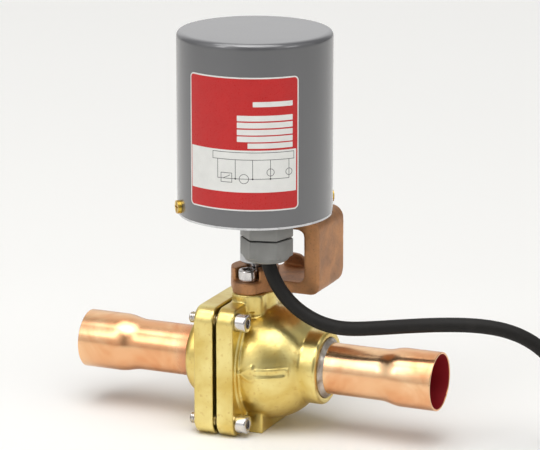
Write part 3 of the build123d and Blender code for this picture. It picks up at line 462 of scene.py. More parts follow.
def joined(meshes):
    # several meshes as one
    points, faces, marks = [], [], []
    for mesh in meshes:
        start = len(points)
        points += [vertex.co.copy() for vertex in mesh.vertices]
        faces += [tuple(start + v for v in face.vertices) for face in mesh.polygons]
        marks += [face.material_index for face in mesh.polygons]
    return meshOf(points, faces, marks)


upright = Matrix.Identity(4)
sideways = Matrix.Rotation(math.radians(90), 4, "Y")          # local z along +X
alongPipe = Matrix.Translation((0, 0, pipe)) @ sideways

# copper tubes, wider at the mouth where the line's tube goes in
tubes = {
    "left": {"stop": -30.0, "mouth": -129.3, "socket": 31.0, "taper": 9.5},
    "right": {"stop": 30.0, "mouth": 138.3, "socket": 29.0, "taper": 8.5},
    "plainR": 18.0, "wall": 1.4, "socketR": 19.1, "blend": 36.0, "lip": 0.45, "arcSteps": 10, "steps": 160,
}


def copperTube(side):
    spec = tubes[side]
    plainR, wall, socketR, blend, lip = (tubes[k] for k in ("plainR", "wall", "socketR", "blend", "lip"))
    mouth, out = spec["mouth"], math.copysign(1, spec["mouth"])
    shoulder = mouth - out * spec["socket"]
    neck = shoulder - out * spec["taper"]
    profile = eased([
        (spec["stop"], plainR, 0), (neck, plainR, blend), (shoulder, socketR + wall, blend),
        (mouth, socketR + wall, lip), (mouth, socketR, lip), (shoulder, socketR, blend),
        (neck, plainR - wall, blend), (spec["stop"], plainR - wall, 0),
    ], tubes["arcSteps"])
    # the inside begins with the last point of the rounded mouth
    first = max(n for n, (height, radius) in enumerate(profile) if abs(height - mouth) < lip * 1.01)
    mesh = turned(profile, alongPipe, tubes["steps"], closed=True, inner=range(first, len(profile)))
    addPiece(side + "_copper_tube", mesh, "copper", [side + "_tube"], marked=["copper", "tube_inside"])


copperTube("left")
copperTube("right")
print("tubes made")

# the supply cable: its route to the floor, and a coil put away beside the valve
cableRoute = [
    (18.6, -22.5, 126.6), (22.5, -22.5, 115.1), (28.6, -22.4, 104.7), (36.8, -22.0, 95.8),
    (46.6, -21.2, 88.8), (57.7, -20.2, 83.9), (69.6, -18.8, 81.5), (81.7, -17.2, 81.6),
    (98.0, -13.2, 83.2), (122.0, -9.4, 86.6), (146.0, -5.6, 89.2), (167.0, 0.0, 89.4),
    (184.8, 6.6, 86.2), (199.6, 14.6, 78.0), (210.8, 22.2, 65.6), (220.4, 27.6, 51.2),
    (231.0, 30.4, 36.6), (244.2, 31.6, 24.0), (259.6, 32.0, 14.4), (276.0, 32.0, 8.0),
    (292.0, 32.0, 5.0),
]
cable = {
    "radius": 5.0, "coilX": 292.0, "coilY": -19.5, "startR": 51.5, "endR": 41.1, "climb": 3.5, "turns": 1.95,
    "perTurn": 20, "length": 0.864, "roundness": 8, "spanSteps": 8,
}


def openCurve(name, points, radius, look):
    curve = bpy.data.curves.new(name, "CURVE")
    curve.dimensions = "3D"
    curve.bevel_depth = radius * mm
    curve.bevel_resolution = cable["roundness"]
    curve.resolution_u = cable["spanSteps"]
    curve.use_fill_caps = True
    spline = curve.splines.new("NURBS")
    spline.points.add(len(points) - 1)
    for point, place in zip(spline.points, points):
        point.co = (place[0] * mm, place[1] * mm, place[2] * mm, 1)
    spline.order_u = 3
    spline.use_endpoint_u = True
    piece = bpy.data.objects.new(name, curve)
    bpy.context.scene.collection.objects.link(piece)
    curve.materials.append(looks[look])
    return piece


def coilPoints():
    # one round on the floor that closes in, then one that climbs on top of it
    count = int(cable["turns"] * cable["perTurn"])
    for step in range(1, count + 1):
        turn = step / cable["perTurn"]
        angle = math.pi / 2 - 2 * math.pi * turn
        r = cable["startR"] + (cable["endR"] - cable["startR"]) * min(turn, 1)
        rise = 2 * cable["radius"] * (1 - (1 - max(turn - 1, 0)) ** cable["climb"])
        yield (cable["coilX"] + r * math.cos(angle), cable["coilY"] + r * math.sin(angle), cable["radius"] + rise)


cablePath = cableRoute + list(coilPoints())
supplyCable = openCurve("supply_cable", cablePath, cable["radius"], "cable_jacket")
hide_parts("cable", "cable_coil")
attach(supplyCable, "housing")

# four cores leave the jacket, bend down to the floor inside the coil and end in bare copper
tail = {
    "coreR": 1.3, "bareR": 0.8, "bareLength": 6.0, "joint": 2.0, "inJacket": 4.0, "lift": 1.5, "spacing": 1.2,
    "fan": 1.6, "fanStep": 0.5, "sinkStep": 0.34, "fanWay": (0.707, 0.707, 0),
    "path": [(-7.5, 39.5, 14.2), (1.0, 34.0, 10.5), (9.0, 26.0, 4.2), (14.5, 20.5, 1.5)],
}
tailEnd, tailBefore = Vector(cablePath[-1]), Vector(cablePath[-2])
heading = (tailEnd - tailBefore).normalized()
across = Vector((-heading.y, heading.x, 0))
coilMiddle = Vector((cable["coilX"], cable["coilY"], 0))
cores = []
for n, core in enumerate(coreColours):
    shift, lift = n - (len(coreColours) - 1) / 2, (tail["lift"] if n % 2 else -tail["lift"])
    path = [tailEnd - heading * tail["inJacket"] + across * shift * tail["spacing"] + Vector((0, 0, lift))]
    for step, spot in enumerate(tail["path"], 1):
        aside = Vector(tail["fanWay"]) * shift * (tail["fan"] + tail["fanStep"] * step)
        stays = lift * max(0, 1 - step * tail["sinkStep"])
        path.append(coilMiddle + Vector(spot) + aside + Vector((0, 0, stays)))
    end, last = path[-1], (path[-1] - path[-2]).normalized()
    bare = end + last * tail["bareLength"]
    bare.z = tail["coreR"]
    cores.append(openCurve("core_" + core, path, tail["coreR"], "core_" + core))
    cores.append(openCurve("bare_end_" + core, [end - last, end + last * tail["joint"], bare], tail["bareR"], "copper"))
for piece in cores:
    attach(piece, "housing")
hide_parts("cable_cores")

# a strap holds the two rounds together; lowest keeps its inner and outer side off the floor
tie = {
    "angle": -152.0, "lowR": 43.9, "topR": 40.6, "topZ": 14.8, "wide": 4.0, "thick": 0.7, "lowest": (0.34, 0.04),
    "arcSteps": 14, "lock": (5.0, 5.4, 4.2), "lockEdge": 0.6, "lockTurn": 1.0, "lockOut": 1.7,
}


def cableTie():
    angle, radius, steps = math.radians(tie["angle"]), cable["radius"], tie["arcSteps"]
    outwards, along = Vector((math.cos(angle), math.sin(angle), 0)), Vector((-math.sin(angle), math.cos(angle), 0))
    low, high = Vector((tie["lowR"], radius)), Vector((tie["topR"], tie["topZ"]))
    lean = math.atan2(high.y - low.y, high.x - low.x)
    bends = [(high, lean + math.pi / 2 - math.pi * k / steps) for k in range(steps + 1)]
    bends += [(low, lean - math.pi / 2 - math.pi * k / steps) for k in range(steps + 1)]
    points, faces = [], []
    for centre, turn in bends:
        for r, lowest in zip((radius, radius + tie["thick"]), tie["lowest"]):
            spot = centre + Vector((math.cos(turn), math.sin(turn))) * r
            for side in (-0.5, 0.5):
                place = coilMiddle + outwards * spot.x + along * side * tie["wide"]
                points.append(Vector((place.x, place.y, max(spot.y, lowest))) * mm)
    count = len(bends)
    for n in range(count):
        a, b = 4 * n, 4 * ((n + 1) % count)
        faces += [
            (a, a + 1, b + 1, b), (a + 2, b + 2, b + 3, a + 3), (a, b, b + 2, a + 2), (a + 1, a + 3, b + 3, b + 1),
        ]
    lock = bmesh.new()
    bmesh.ops.create_cube(lock, size=1.0)
    bmesh.ops.scale(lock, vec=[v * mm for v in tie["lock"]], verts=lock.verts)
    bmesh.ops.bevel(lock, geom=lock.edges[:], offset=tie["lockEdge"] * mm, segments=3, affect="EDGES")
    tilt = lean - tie["lockTurn"]
    spot = high + Vector((math.cos(tilt), math.sin(tilt))) * (radius + tie["lockOut"])
    centre = (coilMiddle + outwards * spot.x + Vector((0, 0, spot.y))) * mm
    turns = Matrix.Rotation(angle, 4, "Z") @ Matrix.Rotation(-tilt, 4, "Y")
    bmesh.ops.transform(lock, verts=lock.verts, matrix=Matrix.Translation(centre) @ turns)
    block = bpy.data.meshes.new("lock")
    lock.to_mesh(block)
    lock.free()
    return addPiece("cable_tie", outward(joined([meshOf(points, faces), block])), "black_plastic", sharp=40)


cores.append(cableTie())
print("cable laid")

# castings: the CAD form with cast corners, under a skin that is a little uneven
castings = {
    "valve_body": {"voxel": 0.75, "soften": 6, "rough": 0.10, "look": "brass_casting"},
    "end_cap": {"voxel": 0.75, "soften": 5, "rough": 0.08, "look": "brass_casting"},
    "bracket": {"voxel": 0.65, "soften": 7, "rough": 0.16, "look": "bronze_casting"},
    "waves": ((160, 0.7), (520, 0.3)),
}


def skinned(mesh, voxel, rounds):
    # one even skin round everything in the mesh, softened this many rounds
    piece = bpy.data.objects.new("skin", mesh)
    bpy.context.scene.collection.objects.link(piece)
    remesh = piece.modifiers.new("remesh", "REMESH")
    remesh.mode, remesh.voxel_size = "VOXEL", voxel * mm
    if rounds:
        soften = piece.modifiers.new("soften", "SMOOTH")
        soften.factor, soften.iterations = 0.5, rounds
    shape = bpy.data.meshes.new_from_object(piece.evaluated_get(bpy.context.evaluated_depsgraph_get()))
    bpy.data.objects.remove(piece)
    return shape


def casting(node, name, extra=(), reshape=None):
    spec = castings[node]
    shape = joined([frame["nodes"][node].data, *extra])
    if reshape:
        shape = skinned(shape, spec["voxel"], 0)
        for vertex in shape.vertices:
            vertex.co = Vector(reshape(*(vertex.co / mm))) * mm
    shape = skinned(shape, spec["voxel"], spec["soften"])
    normals = [vertex.normal.copy() for vertex in shape.vertices]     # read before any point moves
    for vertex, normal in zip(shape.vertices, normals):
        height = sum(noise.noise(vertex.co * scale) * share for scale, share in castings["waves"])
        vertex.co += normal * (height * spec["rough"] * mm)
    shape.materials.clear()
    addPiece(name, shape, spec["look"], [node], sharp=0)


# the bracket's corners as the foundry left them
bracketForm = {
    "right": 49.9, "back": 41.5, "front": -4.5, "bottom": 98.0, "top": 152.7, "solidRound": 14.0, "inside": 3.0,
    "lowRound": 6.5, "backRound": 12.0, "topRound": 9.5, "blend": (24.0, 38.0), "arcSteps": 8,
    "ribFront": 35.8, "ribFoot": 106.3, "ribClear": 120.0, "ribStart": 14.5, "ribEnd": 31.6, "ribShorter": 0.485,
    "ribRound": 8.0,
}


def cornerFill():
    # the web's lower outer corner, out to a smaller round than the solid's
    form = bracketForm
    right, bottom, big, small = form["right"], form["bottom"], form["solidRound"], form["lowRound"]
    within, steps = big - form["inside"], form["arcSteps"]
    turns = [math.pi / 2 * k / steps for k in range(steps + 1)]
    outline = [(right - small + small * math.sin(t), bottom + small - small * math.cos(t)) for t in turns]
    outline.append((right, bottom + big))
    outline += [(right - big + within * math.sin(t), bottom + big - within * math.cos(t)) for t in reversed(turns)]
    outline.append((right - big, bottom))
    count = len(outline)
    points = [(x * mm, y * mm, z * mm) for y in (form["front"], form["back"]) for x, z in outline]
    faces = [tuple(range(count)), tuple(range(2 * count - 1, count - 1, -1))]
    faces += [(n, (n + 1) % count, (n + 1) % count + count, n + count) for n in range(count)]
    return outward(meshOf(points, faces))


def pulledIn(a, b, middleA, middleB, r, side, share=1.0):
    # a point that lies beyond a round corner moves onto it; side says which way b leaves its middle
    da, db = a - middleA, b - middleB
    far = math.hypot(da, db)
    if da <= 0 or db * side <= 0 or far <= r:
        return a, b
    keep = 1 - share * (1 - r / far)
    return middleA + da * keep, middleB + db * keep


def bracketCorners(x, y, z):
    form = bracketForm
    if y > form["ribFront"] and form["ribFoot"] < z < form["ribClear"] and form["ribStart"] < x < form["ribEnd"]:
        x = form["ribStart"] + (x - form["ribStart"]) * form["ribShorter"]
        x, z = pulledIn(x, z, form["ribStart"], form["ribFoot"], form["ribRound"], 1)
    start, end = form["blend"]
    share = min(1, max(0, (x - start) / (end - start)))
    r = form["backRound"]
    y, z = pulledIn(y, z, form["back"] - r, form["bottom"] + r, r, -1, share * share * (3 - 2 * share))
    r = form["topRound"]
    x, z = pulledIn(x, z, form["right"] - r, form["top"] - r, r, 1)
    return x, y, z


casting("valve_body", "body_casting")
casting("end_cap", "cap_casting")
casting("bracket", "bracket_casting", [cornerFill()], bracketCorners)
print("castings made")

# a raised flow arrow, an outline on the round body that points to the cap; middle is the body's, in x and z
flowArrow = {
    "middle": (12.0, 46.0), "shellR": 40.4, "ridge": 0.5, "roundness": 4, "lift": 0.12, "rise": 0.3,
    "turn": 3.0, "spacing": 1.5,
    "outline": [(5.8, 0), (14.8, 5.2), (14.8, 2.7), (37.8, 2.7), (37.8, -2.7), (14.8, -2.7), (14.8, -5.2)],
}


def onShell(x, z):
    turn = math.radians(flowArrow["turn"])
    x, z = x * math.cos(turn) - z * math.sin(turn), x * math.sin(turn) + z * math.cos(turn) + pipe / mm
    x0, z0 = flowArrow["middle"]
    z += flowArrow["rise"]
    r = flowArrow["shellR"] + flowArrow["lift"]
    return Vector((x, -math.sqrt(r * r - (x - x0) ** 2 - (z - z0) ** 2), z))


arrowCurve = bpy.data.curves.new("flow_arrow", "CURVE")
arrowCurve.dimensions, arrowCurve.bevel_depth = "3D", flowArrow["ridge"] * mm
arrowCurve.bevel_resolution = flowArrow["roundness"]
corners = flowArrow["outline"]
track = []
for here, after in zip(corners, corners[1:] + corners[:1]):
    count = max(2, int(math.dist(here, after) / flowArrow["spacing"]))
    track += [onShell(here[0] + (after[0] - here[0]) * k / count, here[1] + (after[1] - here[1]) * k / count)
              for k in range(count)]
ridge = arrowCurve.splines.new("POLY")
ridge.points.add(len(track) - 1)
ridge.use_cyclic_u = True
for point, place in zip(ridge.points, track):
    point.co = (*(place * mm), 1)
arrow = bpy.data.objects.new("flow_arrow", arrowCurve)
bpy.context.scene.collection.objects.link(arrow)
arrowCurve.materials.append(looks["brass_casting"])
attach(arrow, "housing")

# braze where the tubes enter the castings; a row of the bead is how far out along the tube it is, and its shares
# of the spread and of the lumps
brazes = {
    "right": {"face": 55.7, "out": 1, "recess": 2.4}, "left": {"face": -43.0, "out": -1, "recess": 1.2},
    "tubeR": 18.0, "spread": 3.1, "width": 3.0, "lumps": 0.5, "fineLumps": 0.3, "waves": 3.2, "fineWaves": 4,
    "bead": ((0.2, 1.0, 0.0), (0.6, 0.80, 0.5), (1.1, 0.58, 0.9), (1.7, 0.36, 1.0), (2.3, 0.18, 0.8), (2.8, 0.05, 0.3)),
    "seedStep": 0.5, "overlap": 0.02, "steps": 144,
}


def brazeRing(side):
    spec = brazes[side]
    tubeR, spread, lumps, waves = (brazes[k] for k in ("tubeR", "spread", "lumps", "waves"))

    def wavy(radius, seed, amount):
        def at(angle):
            spot = Vector((math.cos(angle) * waves, math.sin(angle) * waves, seed))
            fine = brazes["fineLumps"] * lumps * amount * noise.noise(spot * brazes["fineWaves"])
            return radius + lumps * amount * noise.noise(spot) + fine
        return at

    rows = [(-spec["recess"], tubeR, 0), (-spec["recess"], tubeR + spread, 0)]
    rows += [(far, tubeR + share * spread, amount) for far, share, amount in brazes["bead"]]
    rows.append((brazes["width"], tubeR - brazes["overlap"], 0))
    profile = [
        (spec["face"] + spec["out"] * far, wavy(r, n * brazes["seedStep"], amount))
        for n, (far, r, amount) in enumerate(rows)
    ]
    ring = turned(profile, alongPipe, brazes["steps"], closed=True)
    addPiece(side + "_braze_ring", ring, "braze", [side + "_braze"])


brazeRing("right")
brazeRing("left")

# socket head screws with knurled heads and cut threads
screws = {
    "headR": 6.5, "head": 8.0, "shankR": 4.0, "acrossFlats": 6.0, "socket": 4.0, "mouthR": 3.75, "pitch": 1.25,
    "depth": 0.62, "threaded": 10.0, "threadSteps": 6, "tipR": 2.6, "knurls": 44, "knurl": 0.09, "steps": 88,
    "flange": {"length": 35.6, "face": 2.9, "aside": 37.0, "up": 36.5},
    "bracket": {"length": 21.5, "face": 106.0, "spots": ((-12.6, 0.35), (12.6, 0.1))},
}


def hexR(acrossFlats):
    # a hexagon's radius at each angle
    def at(angle):
        part = angle % (math.pi / 3) - math.pi / 6
        return acrossFlats / 2 / math.cos(part)
    return at


def capScrew(place, length):
    # the head's seat is at 0, the shank goes down and the head up
    spec = screws
    headR, head, shankR = spec["headR"], spec["head"], spec["shankR"]
    socket, floor = hexR(spec["acrossFlats"]), head - spec["socket"]

    def knurled(angle):
        return headR - spec["knurl"] * (0.5 + 0.5 * math.cos(angle * spec["knurls"]))

    def thread(z):
        def at(angle):
            phase = (z / spec["pitch"] - angle / (2 * math.pi)) % 1
            return shankR - spec["depth"] * min(1, 1.5 * abs(2 * phase - 1))
        return at

    rows = [(-length, spec["tipR"]), (-length + 0.7, shankR - spec["depth"])]
    z = -length + 0.9
    while z < -length + spec["threaded"]:
        rows.append((z, thread(z)))
        z += spec["pitch"] / spec["threadSteps"]
    rows += [
        (z + 0.4, shankR), (-0.02, shankR), (0, headR - 0.5), (0.35, headR - 0.1), (0.7, knurled),
        (head - 1.5, knurled), (head - 0.9, headR - 0.05), (head - 0.25, headR - 0.45), (head, headR - 1.0),
        (head, spec["mouthR"]), (head - 0.35, socket), (floor, socket), (floor - 0.8, 0.4),
    ]
    return turned(rows, place, spec["steps"])


spec = screws["flange"]
bolts = [
    capScrew(Matrix.Translation((spec["face"] * mm, y * mm, pipe + z * mm)) @ sideways, spec["length"])
    for y in (-spec["aside"], spec["aside"]) for z in (-spec["up"], spec["up"])
]
addPiece("flange_cap_screws", joined(bolts), "steel_screw", ["flange_bolts"], sharp=28)
spec = screws["bracket"]
bolts = [
    capScrew(Matrix.Translation((0, y * mm, spec["face"] * mm)) @ Matrix.Rotation(turn, 4, "Z"), spec["length"])
    for y, turn in spec["spots"]
]
addPiece("bracket_cap_screws", joined(bolts), "steel_screw", ["bracket_screws"], sharp=28)
print("arrow, braze and screws made")

# cable gland: hexagons with turned corners; cornerR is the corners' radius along the side, just before the end
# and at the end, and edge is how far the end is eased
gland = {
    "x": 18.6, "y": -22.5, "flats": 32.0, "turn": 14.8, "bodyLow": 142.6, "bodyHigh": 151.5, "threadTop": 160.5,
    "threadR": 11.25, "boreR": 7.0, "capLow": 125.6, "shoulder": 128.2, "capHigh": 141.4, "mouthR": 12.8,
    "shoulderR": 15.6, "skirtR": 16.2, "flareR": 7.0, "cableHole": 5.1, "cornerR": (18.3, 18.2, 18.0), "edge": 0.5,
    "domeSteps": 12, "steps": 180,
}
glandPlace = Matrix.Translation((gland["x"] * mm, gland["y"] * mm, 0)) @ Matrix.Rotation(
    math.radians(gland["turn"]), 4, "Z")
glandHex = hexR(gland["flats"])


def cornered(limit, less=0.0):
    return lambda angle: min(glandHex(angle) - less, limit)


def hexEnd(face, inwards):
    # the eased edge of a hexagon from its end face inwards, which is +1 or -1
    edge, soft = gland["edge"], gland["edge"] * 0.3
    along, before, end = gland["cornerR"]
    return [
        (face, cornered(end, edge)), (face + inwards * soft, cornered(before, soft)),
        (face + inwards * edge, cornered(along)),
    ]


low, high = gland["bodyLow"], gland["bodyHigh"]
rows = hexEnd(low, 1) + hexEnd(high, -1)[::-1] + [
    (high, gland["threadR"]), (gland["threadTop"], gland["threadR"]), (gland["threadTop"], gland["boreR"]),
    (low, gland["boreR"]),
]
hexagon = turned(rows, glandPlace, gland["steps"], closed=True)
addPiece("gland_hexagon", hexagon, "gland_nylon", ["gland_body"], sharp=25)

low, shoulder, high = gland["capLow"], gland["shoulder"], gland["capHigh"]
rows = [(low + 0.4, gland["flareR"]), (low, gland["mouthR"] - 0.6)]
for step in range(gland["domeSteps"] + 1):
    t = math.pi / 2 * step / gland["domeSteps"]
    r = gland["mouthR"] + (gland["shoulderR"] - gland["mouthR"]) * math.sin(t)
    rows.append((shoulder - (shoulder - low) * math.cos(t), r))
rows += [(shoulder + 0.2, cornered(gland["skirtR"])), (shoulder + 1.3, cornered(gland["cornerR"][0]))]
rows += hexEnd(high, -1)[::-1] + [(high, gland["cableHole"]), (low + 3.4, gland["cableHole"])]
nut = turned(rows, glandPlace, gland["steps"], closed=True)
addPiece("gland_nut", nut, "gland_nylon", ["gland_cap"], sharp=25)
print("gland made")

# the drawn cover, a little crowned on top
cover = {
    "r": 54.0, "wall": 1.0, "low": 154.2, "high": 281.3, "round": 4.6, "inRound": 3.4, "crown": 0.35,
    "crownR": 30.0, "crownRound": 12, "crownShare": 0.3, "middleR": 1.0, "rimRound": 0.3, "arcSteps": 12,
    "steps": 192,
}
outR, inR, crown = cover["r"], cover["r"] - cover["wall"], cover["crown"]
low, high, under = cover["low"], cover["high"], cover["high"] - cover["wall"]
profile = eased([
    (high, cover["middleR"], 0), (high - crown * cover["crownShare"], cover["crownR"], cover["crownRound"]),
    (high - crown, outR, cover["round"]), (low, outR, cover["rimRound"]), (low, inR, cover["rimRound"]),
    (under - crown, inR, cover["inRound"]), (under, cover["middleR"], 0),
], cover["arcSteps"])
addPiece("drawn_cover", turned(profile, upright, cover["steps"]), "cover_paint", ["motor_cover"], sharp=50)

# rating label: a white plate with red fields, blank value strips and a plain wiring sketch; across is in degrees
# from its middle, down is in mm from its top, and boxes are left, right, top and bottom
label = {
    "r": 54.05, "thick": 0.3, "ink": 0.03, "middle": -76.4, "half": 43.0, "top": 258.5, "tall": 92.2, "corner": 3.4,
    "border": 0.95, "upperEnd": 50.1, "lowerStart": 79.2, "frame": 1.1, "fieldCorner": 0.4, "stripCorner": 0.3,
    "line": 0.34, "cut": 2.4, "stripEnd": 38.0,
    "strips": [(8.6, 16.6, 20.1), (-2.8, 26.1, 29.9), (-2.8, 30.9, 34.7), (-2.8, 35.7, 39.5), (-2.8, 40.4, 44.2),
               (4.9, 45.1, 48.7)],
    "bar": (-21.3, 39.0, 51.6, 56.6), "wires": [-17.4, -4.0, 8.5, 21.3, 35.1], "wireEnd": 69.8,
    "rings": [(2.2, 69.8, 3.2), (21.3, 65.3, 2.5), (35.1, 65.4, 2.3)], "ringSteps": 28,
    "dots": [(-4.0, 69.8), (8.5, 69.8), (21.3, 69.8)], "dotR": 0.62, "dotSteps": 12,
    "switch": (-14.8, -6.6, 66.0, 72.4), "lever": (1.6, 1.4),
}
perDegree = math.pi / 180 * label["r"]


def sheet(outline, mark, height, thick):
    # a thin plate with this outline, bent round the cover; outline is in mm across and down
    shape = bmesh.new()
    shape.faces.new([shape.verts.new((x, -y, 0)) for x, y in outline])
    first, last, cut = min(x for x, y in outline), max(x for x, y in outline), label["cut"]
    for n in range(int(first // cut), int(last // cut) + 1):
        everything = shape.verts[:] + shape.edges[:] + shape.faces[:]
        bmesh.ops.bisect_plane(shape, geom=everything, plane_co=(n * cut, 0, 0), plane_no=(1, 0, 0))
    grown = bmesh.ops.extrude_face_region(shape, geom=shape.faces[:])["geom"]
    for vertex in grown:
        if isinstance(vertex, bmesh.types.BMVert):
            vertex.co.z = thick
    for vertex in shape.verts:
        x, y, z = vertex.co
        angle, r = math.radians(label["middle"]) + x / label["r"], label["r"] + height + z
        vertex.co = (r * math.cos(angle) * mm, r * math.sin(angle) * mm, (label["top"] + y) * mm)
    bmesh.ops.recalc_face_normals(shape, faces=shape.faces)
    mesh = bpy.data.meshes.new("sheet")
    shape.to_mesh(mesh)
    shape.free()
    for face in mesh.polygons:
        face.material_index = mark
    return mesh


def rounded(left, right, top, bottom, r):
    # a box with its corners rounded
    corners = ((left, top, 1, 1, 180), (right, top, -1, 1, 270), (right, bottom, -1, -1, 0), (left, bottom, 1, -1, 90))
    outline = []
    for x, y, inX, inY, start in corners:
        for step in range(7):
            turn = math.radians(start + 15 * step)
            outline.append((x + inX * r + r * math.cos(turn), y + inY * r + r * math.sin(turn)))
    return outline


def stroke(x1, y1, x2, y2, width):
    along = Vector((x2 - x1, y2 - y1)).normalized() * width / 2
    side = Vector((-along.y, along.x))
    a, b = Vector((x1, y1)) - along, Vector((x2, y2)) + along
    return [tuple(a + side), tuple(b + side), tuple(b - side), tuple(a - side)]


def boxLines(box):
    left, right, high, low = box[0] * perDegree, box[1] * perDegree, box[2], box[3]
    return [(left, high, right, high), (left, low, right, low), (left, high, left, low), (right, high, right, low)]


def spoke(across, down, r, turn):
    # the point this far from a middle, at this share of a turn
    return (across + r * math.cos(2 * math.pi * turn), down + r * math.sin(2 * math.pi * turn))


half, edge, corner, tall = label["half"] * perDegree, label["border"], label["corner"], label["tall"]
top, ink, rim = label["thick"], label["ink"], label["frame"]
plate = sheet(rounded(-half, half, 0, tall, corner), 0, 0, top)
addPiece("label_plate", plate, "label", ["rating_label"], sharp=40)
upper, lower = label["upperEnd"], label["lowerStart"]
field = rounded(-half + edge + rim * 0.6, half - edge - rim, upper, lower, label["fieldCorner"])
printed = [
    sheet(rounded(-half + edge, half - edge, edge, tall - edge, corner - edge), 0, top, ink),
    sheet(field, 1, top + ink, ink),
]
for start, high, low in label["strips"]:
    strip = rounded(start * perDegree, label["stripEnd"] * perDegree, high, low, label["stripCorner"])
    printed.append(sheet(strip, 1, top + ink, ink))
width, wireEnd, barFoot = label["line"], label["wireEnd"], label["bar"][3]
wires = [place * perDegree for place in label["wires"]]
lines = boxLines(label["bar"]) + [(x, barFoot, x, wireEnd) for x in wires]
lines.append((wires[0], wireEnd, wires[-1], wireEnd))
lines += boxLines(label["switch"])
left, right, high, low = label["switch"]
fromLeft, fromRight = label["lever"]
lines.append((left * perDegree + fromLeft, wireEnd, right * perDegree - fromRight, high + fromRight))
inked = [stroke(*line, width) for line in lines]
for place, down, r in label["rings"]:
    count, middle = label["ringSteps"], place * perDegree
    near, far = r - width / 2, r + width / 2
    for step in range(count):
        a, b = step / count, (step + 1) / count
        inked.append([spoke(middle, down, q, turn) for q, turn in ((near, a), (far, a), (far, b), (near, b))])
for place, down in label["dots"]:
    count, middle = label["dotSteps"], place * perDegree
    inked.append([spoke(middle, down, label["dotR"], step / count) for step in range(count)])
printed += [sheet(outline, 2, top + 2 * ink, ink) for outline in inked]
addPiece("label_print", joined(printed), "label", sharp=40, marked=["label_red", "label", "label_black"])
print("cover and label made")

# CAD nodes that keep their shape take their finish from their slot
for part in frame["record"]["subparts"]:
    node = frame["nodes"][part["node"]]
    node.data.materials.clear()
    node.data.materials.append(looks[part["material_slot"]])

# floor, light and camera; a lamp is its place, aim, width and power, and its height where it isn't square; the
# world's glow is a ramp over height times a ramp over the compass
studio = {
    "floor": srgb(251, 250, 247), "floorSize": 12, "floorDrop": 0.0002, "floorRoughness": 0.7, "floorSpecular": 0.2,
    "palerReach": 2.0, "paler": ((0.22, 0.0), (0.65, 0.10), (0.85, 0.13)),
    "ambient": 0.30, "sunPower": 1.15, "sunSize": 50, "sunTurn": (20, 14),
    "lamps": {
        "left_box": ((-0.75, -1.35, 1.30), (0, 0, 0.10), 0.45, 4.0, 1.1),
        "right_box": ((1.8, -0.3, 1.1), (0, 0, 0.12), 0.7, 2.5),
        "top_box": ((-0.15, -0.30, 1.75), (0, 0, 0.10), 1.3, 13),
    },
    "heights": ((0.0, 0.50), (0.50, 0.55), (0.60, 0.85), (0.75, 1.0), (1.0, 0.85)),
    "sides": (
        (0.0, 0.40), (0.03, 0.42), (0.08, 0.80), (0.12, 1.0), (0.225, 1.0), (0.26, 0.25), (0.385, 0.25),
        (0.41, 0.62), (0.575, 0.62), (0.60, 0.30), (0.69, 0.30), (0.75, 0.9), (0.88, 1.0), (0.95, 0.55), (1.0, 0.40),
    ),
}
bpy.ops.mesh.primitive_plane_add(size=studio["floorSize"], location=(0, 0, -studio["floorDrop"]))
floor = bpy.context.object
floor.name = "studio_floor"
floorLook = Finish("studio_floor")
away = floorLook.node("ShaderNodeVectorMath", {"operation": "LENGTH"}, [floorLook.place()], "Value")
paler = floorLook.ramp(away * (1 / studio["palerReach"]), *studio["paler"])
seen = floorLook.node("ShaderNodeLightPath", output="Is Camera Ray")
floorLook.surface(
    Base_Color=studio["floor"], Roughness=studio["floorRoughness"], Specular_IOR_Level=studio["floorSpecular"],
    Emission_Strength=1.0, Emission_Color=floorLook.mix(paler * seen, black, white),
)
floor.data.materials.append(floorLook.material)

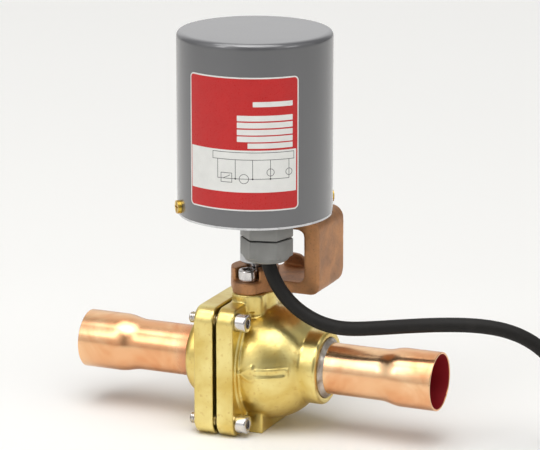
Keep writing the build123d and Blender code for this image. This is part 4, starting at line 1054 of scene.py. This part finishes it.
world = bpy.context.scene.world or bpy.data.worlds.new("studio")
bpy.context.scene.world = world
world.use_nodes = True
air = Finish("studio", world.node_tree)
background = world.node_tree.nodes["Background"]
direct, glossy, through = (
    air.node("ShaderNodeLightPath", output=f"Is {kind} Ray") for kind in ("Camera", "Glossy", "Transmission")
)
shown = (direct + glossy + through).calc("MINIMUM", 1.0)
facing = air.node("ShaderNodeTexCoord", output="Generated")
compass = air.axis("Y", facing).calc("ARCTAN2", air.axis("X", facing)) * (0.5 / math.pi) + 0.5
glow = air.ramp(air.axis("Z", facing) * 0.5 + 0.5, *studio["heights"])
glow = air.mix(1.0, glow, air.ramp(compass, *studio["sides"]), "MULTIPLY")
air.feed(background.inputs["Color"], air.mix(shown, white, glow))
air.feed(background.inputs["Strength"], shown * (1 - studio["ambient"]) + studio["ambient"])


def towards(place, aim):
    return (Vector(aim) - Vector(place)).to_track_quat("-Z", "Y").to_euler()


def areaLight(name, place, aim, wide, power, tall=None):
    lamp = bpy.data.lights.new(name, "AREA")
    lamp.energy, lamp.size = power, wide
    if tall:
        lamp.shape, lamp.size_y = "RECTANGLE", tall
    made = bpy.data.objects.new(name, lamp)
    made.location, made.rotation_euler = place, towards(place, aim)
    bpy.context.scene.collection.objects.link(made)


sun = bpy.data.lights.new("window", "SUN")
sun.energy, sun.angle = studio["sunPower"], math.radians(studio["sunSize"])
sunLamp = bpy.data.objects.new("window", sun)
sunLamp.rotation_euler = (*(math.radians(turn) for turn in studio["sunTurn"]), 0)
bpy.context.scene.collection.objects.link(sunLamp)
for name, lamp in studio["lamps"].items():
    areaLight(name, *lamp)

view = {
    "place": (0.84769, -1.92464, 0.68960), "aim": (0.009517, 0.004136, 0.142714), "lens": 208.424, "sensor": 36,
}
cameraData = bpy.data.cameras.new("camera")
cameraData.lens, cameraData.sensor_width = view["lens"], view["sensor"]
camera = bpy.data.objects.new("camera", cameraData)
camera.location, camera.rotation_euler = view["place"], towards(view["place"], view["aim"])
bpy.context.scene.collection.objects.link(camera)
bpy.context.scene.camera = camera
bpy.context.scene.view_settings.view_transform = "Standard"
print("studio ready")
